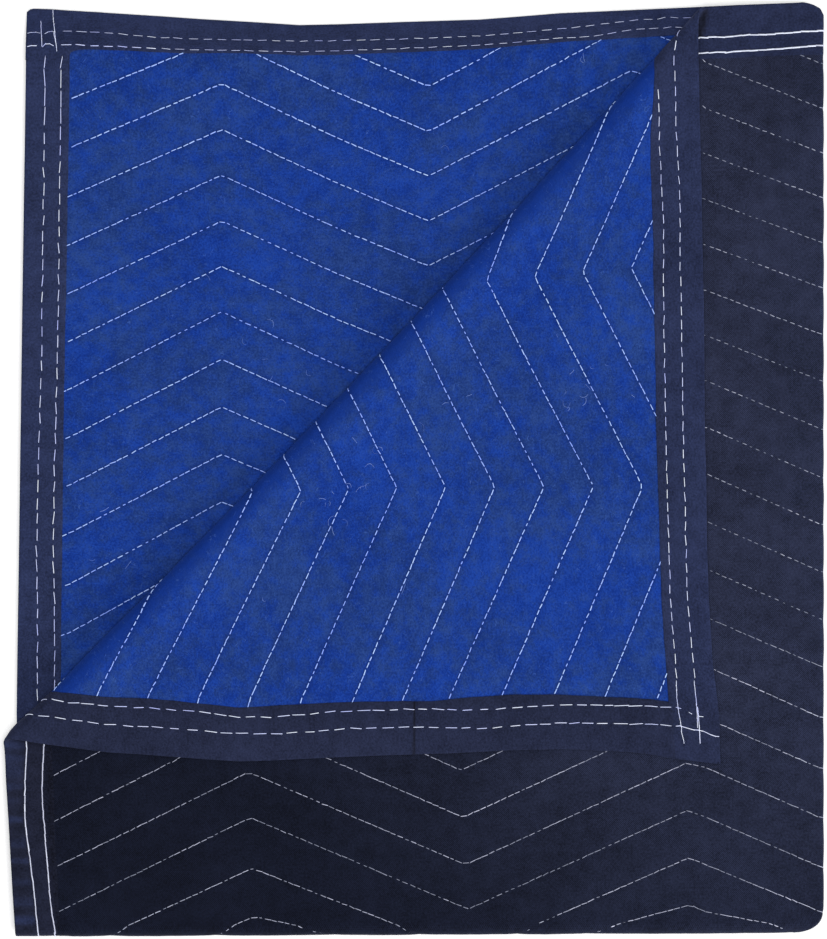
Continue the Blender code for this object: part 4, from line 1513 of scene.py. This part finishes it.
@dataclass(frozen=True)
class BindingStitching:
    """The double rows of heavy white stitching on the bindings.

    Spans are (edge, face, row of the leg, start, end, stitch), corners are lines of flat
    places on the felt side, with the thread's radius.
    """

    sheet: FoldedSheet
    level: float = 1.62
    dash: Stitch = Stitch(13.2, 17.8, 0.44, 0.34, 0.6, 0.25, 0.08, shade=0.55)
    close_dash: Stitch = Stitch(17.0, 17.5, 0.42, 0.34, 0.4, 0.1, 0.03, shade=0.55)
    flap_dash: Stitch = Stitch(10.9, 15.3, 0.39, 0.34, 0.6, 0.2, 0.05, shade=0.55)
    top_dash: Stitch = Stitch(10.6, 15.6, 0.38, 0.32, 0.6, 0.2, 0.05, shade=0.45)
    top_chain: Stitch = Stitch(10.4, 9.0, 0.92, 0.42, 0.5, 0.12, 0.04, shade=0.65)
    side_chain: Stitch = Stitch(10.2, 9.0, 0.74, 0.40, 0.5, 0.12, 0.04, shade=0.4)
    corner_radii: tuple[float, float] = (0.36, 0.46)

    def spans(self) -> tuple[tuple[Edge, Face, str, float, float, Stitch], ...]:
        """Every straight row of binding stitches, from its corner onwards."""
        rows = (
            (Edge.SIDE_INNER, Face.FELT, "outer", (963.0, 890.0, 222.0)),
            (Edge.SIDE_INNER, Face.FELT, "inner", (963.0, 895.0, 222.0)),
            (Edge.END_UPPER, Face.FELT, "outer", (852.0, 130.0), self.top_dash),
            (Edge.END_UPPER, Face.FELT, "inner", (853.0, 130.0), self.top_dash),
            (Edge.END_UPPER, Face.FELT, "outer", (-851.0, -155.0), self.flap_dash),
            (Edge.END_UPPER, Face.FELT, "inner", (-853.0, -219.0), self.flap_dash),
            (Edge.SIDE_OUTER, Face.FELT, "outer", (978.0, 905.0, 228.0)),
            (Edge.SIDE_OUTER, Face.FELT, "inner", (979.0, 900.0, 238.0)),
            (Edge.END_UPPER, Face.WEAVE, "outer", (-170.0, 5.0), self.top_chain),
            (Edge.END_UPPER, Face.WEAVE, "inner", (-170.0, 5.0), self.top_chain),
            (Edge.SIDE_OUTER, Face.WEAVE, "outer", (-4.0, 250.0), self.side_chain),
            (Edge.SIDE_OUTER, Face.WEAVE, "inner", (-4.0, 250.0), self.side_chain),
        )
        return tuple(
            (edge, face, row, start, end, stitch)
            for edge, face, row, places, *one in rows
            for start, end, stitch in zip(places, places[1:], one or (self.close_dash, self.dash))
        )

    def corners(self) -> tuple[tuple[float, Table], ...]:
        """The wandering ends of the rows at the two corners on the felt side."""
        thin, thick = self.corner_radii
        return (
            (thin, ((874.4, 1007.0), (873.3, 987.0), (872.0, 965.6))),
            (
                thin,
                ((872.0, 965.6), (869.8, 968.0), (866.5, 969.3), (862.6, 968.4), (857.5, 965.5)),
            ),
            (
                thin,
                (
                    (861.3, 1024.2), (860.4, 1008.1), (858.4, 988.1), (856.6, 967.6),
                    (855.1, 961.1),
                ),
            ),
            (thin, ((859.6, 987.0), (857.6, 974.0), (855.8, 964.0))),
            (thin, ((888.9, 986.3), (881.9, 988.6), (876.3, 987.1), (873.5, 985.6))),
            (thin, ((869.6, 984.8), (866.3, 987.7), (860.7, 989.5), (857.3, 987.2))),
            (thin, ((888.7, 966.4), (882.6, 967.2), (877.1, 966.9))),
            (
                thin,
                (
                    (-853.2, 982.0), (-874.7, 981.7), (-883.3, 982.5), (-892.8, 983.7),
                    (-902.3, 985.2), (-907.7, 984.6), (-912.4, 985.9), (-920.3, 987.3),
                ),
            ),
            (thin, ((-851.2, 1002.0), (-872.5, 1003.3), (-887.4, 1003.6), (-903.5, 1003.2))),
            (
                thick,
                ((-878.8, 1004.3), (-889.5, 1004.9), (-908.7, 1005.2), (-918.3, 1005.3)),
            ),
            (thin, ((-882.3, 979.7), (-882.7, 987.6))),
            (thin, ((-885.8, 994.1), (-887.5, 997.9))),
            (thin, ((-889.3, 1004.0), (-888.8, 1010.7))),
            (
                thick,
                (
                    (-902.2, 978.7), (-901.6, 985.4), (-903.6, 993.1), (-904.5, 999.8),
                    (-903.7, 1006.6), (-905.7, 1013.2), (-908.2, 1019.8), (-909.1, 1027.0),
                ),
            ),
        )

    def build(self, felt_material: Material, weave_material: Material) -> list[Item]:
        """Sew the dashed rows of the felt side and the chained ones of the other."""
        threads = {
            Face.FELT: SewnThread(self.sheet, "binding_stitches_felt", 300),
            Face.WEAVE: SewnThread(self.sheet, "binding_stitches_weave", 301),
        }
        for edge, face, row, start, end, stitch in self.spans():
            s = np.linspace(start, end, round(abs(end - start) / LINE_STEP))
            leg = TAPE_SIZES[edge].leg(face)
            reach = read(s, leg.outer if row == "outer" else leg.inner)
            u, v = place_along(edge, s, reach)
            level = self.level + tape_lift(edge, s)
            threads[face].sew(u, v, face.value, level, stitch, start=0.5)
        for radius, line in self.corners():
            u, v = dense(line)
            tight = Stitch(6.4, 5.0, radius, 0.34, 0.12, 0.05, 0.04, shade=0.6)
            level = self.level + tape_lift(Edge.END_UPPER, u) * (v > 960)
            threads[Face.FELT].sew(u, v, 1.0, level, tight)
        return [
            threads[Face.FELT].build(felt_material), threads[Face.WEAVE].build(weave_material)
        ]


@dataclass(frozen=True)
class LooseFibres:
    """Fine pale fibres that curl on the felt, thickest in a few clusters.

    Each patch is (across, up, spread, count) on the flat sheet.
    """

    sheet: FoldedSheet
    level: float = 2.1
    patches: Table = (
        (-538.0, 875.0, 16.0, 9), (-613.0, 648.0, 18.0, 8), (-662.0, 584.0, 16.0, 7),
        (-640.0, 520.0, 130.0, 14), (-430.0, 760.0, 150.0, 14), (480.0, 760.0, 150.0, 12),
        (700.0, 520.0, 110.0, 10), (600.0, 420.0, 70.0, 5),
    )

    def build(self, material: Material) -> Item:
        """Scatter the fibres."""
        rng = np.random.default_rng(77)
        thread = SewnThread(self.sheet, "loose_fibres", 500)
        for across, up, spread, count in self.patches:
            for _ in range(int(count)):
                u = across + spread * rng.uniform(-1.6, 1.6)
                v = up + spread * rng.uniform(-1.6, 1.6)
                if not self._in_sight(u, v):
                    continue
                thread.lengths.append((
                    u, v, rng.uniform(0, math.pi), rng.uniform(2.0, 6.5), 1.0, self.level,
                    rng.uniform(0.15, 0.20), 0.0, 0.2, rng.uniform(-0.9, 0.9),
                    rng.uniform(0.2, 0.9),
                ))
        return thread.build(material)

    def _in_sight(self, u: float, v: float) -> bool:
        """Whether a place lies on felt that shows, clear of the bindings and the roll."""
        flat_u, flat_v = np.array([u]), np.array([v])
        side, end = inside_tapes(flat_u, flat_v, Face.FELT)
        past = float(self.sheet.roll_distance(*self.sheet.lay(flat_u, flat_v))[0])
        return min(side[0], end[0]) > 12 and past > (0 if u > 0 else 30)


class Nodes:
    """Adds and links nodes in one node tree."""

    def __init__(self, tree: bpy.types.NodeTree) -> None:
        """Start on a tree."""
        self.tree = tree

    def add(self, kind: str, **values: object) -> Node:
        """Add a node, and set its properties and named inputs."""
        node = self.tree.nodes.new(kind)
        for key, value in values.items():
            if hasattr(node, key):
                setattr(node, key, value)
            else:
                node.inputs[key.replace("_", " ")].default_value = value
        return node

    def link(self, source: Socket, target: Socket) -> None:
        """Join an output to an input."""
        self.tree.links.new(source, target)

    def put(self, value: object, target: Socket) -> None:
        """Give an input a socket or a plain value."""
        if isinstance(value, Socket):
            self.link(value, target)
        else:
            target.default_value = value

    def math(
        self, operation: str, first: object, second: object = 0.0, third: object = 0.0
    ) -> Socket:
        """A number worked out from sockets or plain numbers."""
        node = self.add("ShaderNodeMath", operation=operation)
        for index, value in enumerate((first, second, third)):
            self.put(value, node.inputs[index])
        return node.outputs[0]

    def vector(self, operation: str, first: object, second: object, key: str | int = 1) -> Node:
        """A step of vector arithmetic; the key names its second input."""
        node = self.add("ShaderNodeVectorMath", operation=operation)
        self.put(first, node.inputs[0])
        self.put(second, node.inputs[key])
        return node

    def noise(
        self, where: Socket, scale: float, detail: float = 3.0, rough: float = 0.55,
        distortion: float = 0.0,
    ) -> Socket:
        """Noise of a number of cells to the metre."""
        node = self.add(
            "ShaderNodeTexNoise", Scale=scale, Detail=detail, Roughness=rough,
            Distortion=distortion,
        )
        self.link(where, node.inputs["Vector"])
        return node.outputs["Fac"]

    def ramp(
        self, value: Socket, low: float, high: float,
        out: tuple[float, float] = (0, 1),
    ) -> Socket:
        """A value carried smoothly from one range to another."""
        node = self.add(
            "ShaderNodeMapRange", interpolation_type="SMOOTHSTEP", From_Min=low, From_Max=high,
            To_Min=out[0], To_Max=out[1],
        )
        self.link(value, node.inputs["Value"])
        return node.outputs["Result"]

    def mix(self, share: object, first: object, second: object, blend: str = "MIX") -> Socket:
        """A colour mixed of two, given as sockets or plain colours."""
        node = self.add("ShaderNodeMix", data_type="RGBA", blend_type=blend)
        for index, value in ((0, share), (6, first), (7, second)):
            self.put(value, node.inputs[index])
        return node.outputs[2]

    def kept(self, name: str) -> Socket:
        """The number that each vertex keeps under a name."""
        return self.add("ShaderNodeAttribute", attribute_name=name).outputs["Fac"]

    def flat_map(self) -> Socket:
        """Places on the flat sheet, in metres."""
        return self.add("ShaderNodeUVMap", uv_map="flat").outputs["UV"]

    def effect(self, name: str, where: Socket, values: dict[str, float]) -> Socket:
        """Output of a shared effect at a place, with its own values."""
        node = self.add("ShaderNodeGroup", node_tree=bpy.data.node_groups[name])
        self.link(where, node.inputs["Place"])
        for key, value in values.items():
            node.inputs[key].default_value = value
        return node.outputs[0]

    def bump(self, shader: Node, height: Socket, strength: float, distance: float) -> None:
        """Let a height raise the shader's surface."""
        node = self.add("ShaderNodeBump", Strength=strength, Distance=distance)
        self.link(height, node.inputs["Height"])
        self.link(node.outputs["Normal"], shader.inputs["Normal"])


def new_material(name: str) -> tuple[Material, Nodes, Node]:
    """A material, its nodes, and its shader."""
    material = bpy.data.materials.new(name)
    material.use_nodes = True
    return material, Nodes(material.node_tree), material.node_tree.nodes["Principled BSDF"]


def set_shader(shader: Node, **values: object) -> None:
    """Set plain inputs of a shader, named with underscores for spaces."""
    for key, value in values.items():
        shader.inputs[key.replace("_", " ")].default_value = value


def new_group(
    name: str, inputs: tuple[str, ...], output: str
) -> tuple[bpy.types.NodeTree, Nodes, Node, Socket]:
    """A node group that takes a place and some numbers, and puts out one number.

    Returns:
        The group, its nodes, its input node, and the socket for its result.
    """
    group = bpy.data.node_groups.new(name, "ShaderNodeTree")
    group.interface.new_socket("Place", in_out="INPUT", socket_type="NodeSocketVector")
    for key in inputs:
        group.interface.new_socket(key, in_out="INPUT", socket_type="NodeSocketFloat")
    group.interface.new_socket(output, in_out="OUTPUT", socket_type="NodeSocketFloat")
    nodes = Nodes(group)
    source, target = nodes.add("NodeGroupInput"), nodes.add("NodeGroupOutput")
    return group, nodes, source, target.inputs[output]


def colour(red: float, green: float, blue: float) -> tuple[float, float, float, float]:
    """A linear colour with full cover."""
    return red, green, blue, 1.0


MOTTLE_SIZES = ("Broad", "Middle", "Fine")


def mottle_group() -> bpy.types.NodeTree:
    """Effect: soft uneven patches at three sizes, for every cloth.

    Inputs are the place and the share of each size, outputs a tone about 0.5.
    """
    group, nodes, source, target = new_group("cloth_mottle", MOTTLE_SIZES, "Tone")
    total: object = 0.5
    for name, scale, rough in zip(MOTTLE_SIZES, (9.0, 62.0, 420.0), (0.5, 0.6, 0.7)):
        value = nodes.noise(source.outputs["Place"], scale, 4.0, rough)
        centred = nodes.math("SUBTRACT", value, 0.5)
        total = nodes.math("MULTIPLY_ADD", centred, source.outputs[name], total)
    nodes.link(total, target)
    return group


def weave_group() -> bpy.types.NodeTree:
    """Effect: crossing threads of a plain or slanted weave.

    Inputs are the place, the threads to the metre and the turn of the weave in
    radians, outputs a height from 0 to 1.
    """
    group, nodes, source, target = new_group("cloth_weave", ("Threads", "Turn"), "Height")
    turn = nodes.add("ShaderNodeVectorRotate", rotation_type="Z_AXIS")
    nodes.link(source.outputs["Place"], turn.inputs["Vector"])
    nodes.link(source.outputs["Turn"], turn.inputs["Angle"])
    split = nodes.add("ShaderNodeSeparateXYZ")
    nodes.link(turn.outputs["Vector"], split.inputs["Vector"])
    waves = []
    for axis in ("X", "Y"):
        run = nodes.math("MULTIPLY", split.outputs[axis], source.outputs["Threads"])
        phase = nodes.math("MULTIPLY", run, math.pi)
        wave = nodes.math("SINE", phase)
        waves.append(nodes.math("MULTIPLY", wave, wave))
    nodes.link(nodes.math("MAXIMUM", *waves), target)
    return group


@dataclass(frozen=True)
class FeltFinish:
    """Fuzzy needled felt, mottled, with paler fibres in it, and with painted shade in its stitch
    grooves and on the roll of the turned-down corner.
    """

    deep: tuple[float, float, float] = (0.0058, 0.0245, 0.160)
    pale: tuple[float, float, float] = (0.0155, 0.0525, 0.270)
    fibre: tuple[float, float, float] = (0.050, 0.115, 0.40)
    # Painted shade in the stitch grooves.
    groove: tuple[float, float, float] = (0.0045, 0.0165, 0.115)
    # Painted shade on the roll of the turned-down corner: a deeper, more saturated blue.
    turned: tuple[float, float, float] = (0.0035, 0.022, 0.175)
    dusty: tuple[float, float, float] = (1.38, 1.08, 0.84)
    vivid: tuple[float, float, float] = (0.68, 0.94, 1.18)
    mottle: tuple[float, float, float] = (0.7, 1.1, 2.4)
    hue_mottle: tuple[float, float, float] = (1.5, 1.9, 1.2)
    hue_shift: Point = (3.7, 8.3, 0.0)
    painted_roll_shade_share: float = 0.85
    painted_groove_shade_share: float = 0.55
    roughness: float = 0.95
    sheen: float = 0.22

    def material(self, name: str) -> Material:
        """Build the material."""
        material, nodes, shader = new_material(name)
        flat = nodes.flat_map()
        shares = dict(zip(MOTTLE_SIZES, self.mottle))
        tone = nodes.ramp(nodes.effect("cloth_mottle", flat, shares), 0.05, 0.95)
        base = nodes.mix(tone, colour(*self.deep), colour(*self.pale))
        base = nodes.mix(1.0, base, self._hue(nodes, flat), "MULTIPLY")
        # Painted shade on the roll, by the turned share that each vertex keeps.
        turned = nodes.math("MULTIPLY", nodes.kept("turned"), self.painted_roll_shade_share)
        base = nodes.mix(turned, base, colour(*self.turned))
        hairs = self._hairs(nodes, flat)
        base = nodes.mix(hairs, base, colour(*self.fibre))
        # Painted shade in the stitch grooves.
        groove = nodes.math("MULTIPLY", nodes.kept("groove"), self.painted_groove_shade_share)
        base = nodes.mix(groove, base, colour(*self.groove))
        nodes.link(base, shader.inputs["Base Color"])
        set_shader(
            shader, Roughness=self.roughness, Sheen_Weight=self.sheen, Sheen_Roughness=0.6,
            Sheen_Tint=colour(0.10, 0.26, 1.0), Specular_IOR_Level=0.04,
        )
        fuzz = nodes.noise(flat, 700.0, 4.0, 0.75)
        tufts = nodes.noise(flat, 120.0, 3.0, 0.6)
        height = nodes.math("MULTIPLY_ADD", tufts, 1.6, fuzz)
        height = nodes.math("MULTIPLY_ADD", hairs, 0.5, height)
        nodes.bump(shader, height, 0.9, 0.0009)
        return material

    def _hue(self, nodes: Nodes, flat: Socket) -> Socket:
        """Uneven tint of the felt, dusty in places and vivid in others."""
        moved = nodes.vector("ADD", flat, self.hue_shift).outputs[0]
        shares = dict(zip(MOTTLE_SIZES, self.hue_mottle))
        share = nodes.ramp(nodes.effect("cloth_mottle", moved, shares), 0.1, 0.9)
        return nodes.mix(share, colour(*self.dusty), colour(*self.vivid))

    @staticmethod
    def _hairs(nodes: Nodes, flat: Socket) -> Socket:
        """Thin curling lines of paler fibre, in scattered patches."""
        total: object = 0.0
        for scale, width, bend in ((26.0, 0.006, 2.6), (44.0, 0.008, 1.8), (80.0, 0.012, 1.2)):
            field_value = nodes.noise(flat, scale, 2.0, 0.5, bend)
            off = nodes.math("ABSOLUTE", nodes.math("SUBTRACT", field_value, 0.5))
            line = nodes.ramp(off, 0.0, width, (1.0, 0.0))
            patch = nodes.ramp(nodes.noise(flat, scale * 1.7, 1.0, 0.5), 0.55, 0.68)
            line = nodes.math("MULTIPLY", line, patch)
            total = nodes.math("MAXIMUM", total, line)
        return nodes.math("MULTIPLY", total, 0.6)


@dataclass(frozen=True)
class WeaveFinish:
    """Fine woven cloth, nearly black, with its threads on the slant.

    Where a middle is given, the pale colour is painted sheen: full round that middle in the flat
    map, and fading out from a full to a last radius in metres. With no middle it follows the tone
    of each vertex.
    """

    deep: tuple[float, float, float]
    pale: tuple[float, float, float]
    threads: float
    turn: float
    weave: float
    bump: float
    contrast: float = 1.0
    roughness: float = 0.85
    sheen: float = 0.05
    specular: float = 0.05
    mottle: tuple[float, float, float] = (0.5, 0.6, 1.3)
    painted_sheen_middle: tuple[float, float] | None = None
    painted_sheen_reach: tuple[float, float] = (0.30, 0.87)

    def material(self, name: str) -> Material:
        """Build the material."""
        material, nodes, shader = new_material(name)
        flat = nodes.flat_map()
        mottle = nodes.effect("cloth_mottle", flat, dict(zip(MOTTLE_SIZES, self.mottle)))
        weave = nodes.effect("cloth_weave", flat, {"Threads": self.threads, "Turn": self.turn})
        centred = nodes.math("SUBTRACT", weave, 0.7)
        tone = nodes.math("MULTIPLY_ADD", centred, self.weave, mottle)
        tone = nodes.math("SUBTRACT", nodes.ramp(tone, 0.0, 1.0), 0.5)
        strength = nodes.math("MULTIPLY_ADD", tone, self.contrast, 1.0)
        pale_share = self._pale_share(nodes, flat)
        strength = nodes.math("MULTIPLY_ADD", nodes.math("MINIMUM", pale_share, 0.0), 0.7, strength)
        base = nodes.mix(pale_share, colour(*self.deep), colour(*self.pale))
        strength = nodes.math("MAXIMUM", strength, 0.1)
        scaled = nodes.vector("SCALE", base, strength, "Scale")
        nodes.link(scaled.outputs[0], shader.inputs["Base Color"])
        set_shader(
            shader, Roughness=self.roughness, Sheen_Weight=self.sheen, Sheen_Roughness=0.5,
            Sheen_Tint=colour(0.55, 0.62, 1.0), Specular_IOR_Level=self.specular,
        )
        fuzz = nodes.noise(flat, 900.0, 2.0, 0.6)
        nodes.bump(shader, nodes.math("MULTIPLY_ADD", fuzz, 0.5, weave), 0.6, self.bump)
        return material

    def _pale_share(self, nodes: Nodes, flat: Socket) -> Socket:
        """Share of the pale colour: painted sheen round the middle, or the tone of each vertex.
        """
        if self.painted_sheen_middle is None:
            return nodes.kept("tone")
        # Painted sheen, pale round the middle and fading to the deep colour farther off.
        distance = nodes.vector("DISTANCE", flat, (*self.painted_sheen_middle, 0.0))
        return nodes.ramp(distance.outputs["Value"], *self.painted_sheen_reach, (1.0, 0.0))


@dataclass(frozen=True)
class ThreadFinish:
    """Twisted polyester thread."""

    deep: tuple[float, float, float]
    pale: tuple[float, float, float]
    roughness: float = 0.6

    def material(self, name: str) -> Material:
        """Build the material."""
        material, nodes, shader = new_material(name)
        where = nodes.add("ShaderNodeTexCoord").outputs["Object"]
        twist = nodes.noise(where, 1800.0, 1.0, 0.5)
        centred = nodes.math("SUBTRACT", twist, 0.5)
        tone = nodes.math("MULTIPLY_ADD", centred, 0.5, nodes.kept("shade"))
        base = nodes.mix(nodes.ramp(tone, 0.0, 1.0), colour(*self.deep), colour(*self.pale))
        nodes.link(base, shader.inputs["Base Color"])
        set_shader(shader, Roughness=self.roughness, Specular_IOR_Level=0.2)
        nodes.bump(shader, twist, 0.4, 0.0003)
        return material


@dataclass(frozen=True)
class FloorFinish:
    """Plain pale studio floor, lit a little from below."""

    tone: float = 0.90
    glow: float = 0.30

    def material(self, name: str) -> Material:
        """Build the material."""
        material, nodes, shader = new_material(name)
        where = nodes.add("ShaderNodeTexCoord").outputs["Object"]
        grain = nodes.ramp(nodes.noise(where, 3.0, 2.0), 0.2, 0.8)
        pale = colour(self.tone, self.tone, self.tone)
        base = nodes.mix(grain, pale, colour(self.tone - 0.01, self.tone - 0.01, self.tone))
        nodes.link(base, shader.inputs["Base Color"])
        set_shader(
            shader, Roughness=0.9, Emission_Color=colour(1.0, 1.0, 1.0),
            Emission_Strength=self.glow,
        )
        return material


@dataclass(frozen=True)
class Studio:
    """Pale floor, soft light and a camera straight above."""

    camera_height: float = 12.0
    shown_height: float = 1.0423
    centre: tuple[float, float] = (0.0004, -0.0009)
    sensor: float = 36.0
    world_strength: float = 0.36
    lamps: tuple[tuple[str, float, float, Point], ...] = (
        ("key", 280.0, 3.0, (4.38, -3.67, 2.45)),
        ("overhead", 162.0, 2.4, (0.0, 0.0, 5.0)),
    )

    def build(self) -> None:
        """Place the floor, the lights and the camera."""
        self._floor()
        self._light()
        self._camera()
        bpy.context.scene.view_settings.view_transform = "Standard"

    def _floor(self) -> None:
        """A wide floor just under the blanket."""
        shape = bmesh.new()
        bmesh.ops.create_grid(shape, x_segments=2, y_segments=2, size=12.0)
        mesh = mesh_of(shape, "studio_floor")
        floor = new_object("studio_floor", mesh)
        mesh.materials.append(FloorFinish().material("pale_floor"))

    def _light(self) -> None:
        """An even sky, a soft lamp on one side and one overhead."""
        world = bpy.data.worlds.new("studio")
        bpy.context.scene.world = world
        world.use_nodes = True
        sky = world.node_tree.nodes["Background"]
        set_shader(sky, Color=colour(1.0, 1.0, 1.0), Strength=self.world_strength)
        for name, power, size, place in self.lamps:
            data = bpy.data.lights.new(name, "AREA")
            data.shape = "SQUARE"
            data.size = size
            data.energy = power
            lamp = new_object(name, data)
            lamp.location = place
            lamp.rotation_euler = (-Vector(place)).to_track_quat("-Z", "Y").to_euler()
            lamp.visible_camera = False

    def _camera(self) -> None:
        """A long lens straight above, framed on the folded blanket."""
        data = bpy.data.cameras.new("overhead")
        data.sensor_width = self.sensor
        data.lens = self.sensor * self.camera_height / self.shown_height
        data.clip_end = 100.0
        camera = new_object("overhead", data)
        camera.location = (*self.centre, self.camera_height)
        bpy.context.scene.camera = camera


@dataclass
class MovingBlanket:
    """The whole blanket, with its finishes."""

    sheet: FoldedSheet = field(default_factory=FoldedSheet)
    pattern: ChevronPattern = field(default_factory=ChevronPattern)
    tapes: dict[Edge, Item] = field(default_factory=dict)

    def build(self) -> None:
        mottle_group()
        weave_group()
        felt = FeltFinish().material("felt_blue")
        # The dark face carries painted sheen, pale near the side fold at mid-height and deep
        # towards the lower left.
        weave = WeaveFinish(
            (0.0050, 0.0066, 0.0155), (0.0170, 0.0210, 0.0455), 620.0, math.pi / 4, 0.55, 0.0004,
            contrast=1.5, painted_sheen_middle=(0.05, 0.60),
        ).material("weave_dark")
        tape = WeaveFinish(
            (0.0120, 0.0143, 0.0306), (0.0202, 0.0283, 0.0763), 900.0, 0.0, 0.25, 0.0003,
            contrast=1.25,
        ).material("tape_navy")
        felt_face = QuiltedPanel(Face.FELT, self.sheet, self.pattern).build(
            "felt_face", "blue_face_panel", felt
        )
        woven_back = QuiltedPanel(Face.WEAVE, self.sheet, self.pattern, lower_plain=1.95).build(
            "woven_back", "dark_back_panel", weave
        )
        for edge in Edge:
            name = "tape_" + edge.value.removeprefix("binding_")
            self.tapes[edge] = BindingTape(edge, self.sheet).build(name, tape)
        white = ThreadFinish((0.46, 0.51, 0.98), (0.82, 0.87, 1.0)).material("thread_white")
        chalk = ThreadFinish((0.49, 0.51, 0.66), (0.80, 0.84, 1.0)).material("thread_chalk")
        blue = ThreadFinish((0.24, 0.37, 0.98), (0.46, 0.64, 1.0)).material("thread_blue")
        grey = ThreadFinish((0.20, 0.22, 0.30), (0.56, 0.58, 0.74)).material("thread_grey")
        wisp = ThreadFinish((0.07, 0.14, 0.48), (0.26, 0.38, 0.80)).material("fibre_blue")
        quilting = QuiltStitching(self.sheet, self.pattern).build(blue, grey)
        binding = BindingStitching(self.sheet).build(white, chalk)
        fibres = LooseFibres(self.sheet).build(wisp)
        self._declare(
            (felt_face, [quilting[0], fibres]), (woven_back, [quilting[1]]), binding
        )

    def _declare(
        self,
        felt: tuple[Item, list[Item]],
        weave: tuple[Item, list[Item]],
        binding: list[Item],
    ) -> None:
        """Go over every sheet of cloth and the pieces sewn to it, and work out each binding's
        flat width, which is then not used.
        """
        for panel, sewn in (felt, weave):
            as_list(sewn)
        for edge, tape in self.tapes.items():
            sizes = TAPE_SIZES[edge]
            across = sum(
                float(np.mean([row[1] for row in leg.width])) for leg in (sizes.felt, sizes.weave)
            )
            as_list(binding if edge is Edge.SIDE_OUTER else [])


def main() -> None:
    """Build the studio and the blanket."""
    logging.basicConfig(level=logging.INFO, format="%(message)s")
    Studio().build()
    MovingBlanket().build()


if __name__ == "__main__":
    main()
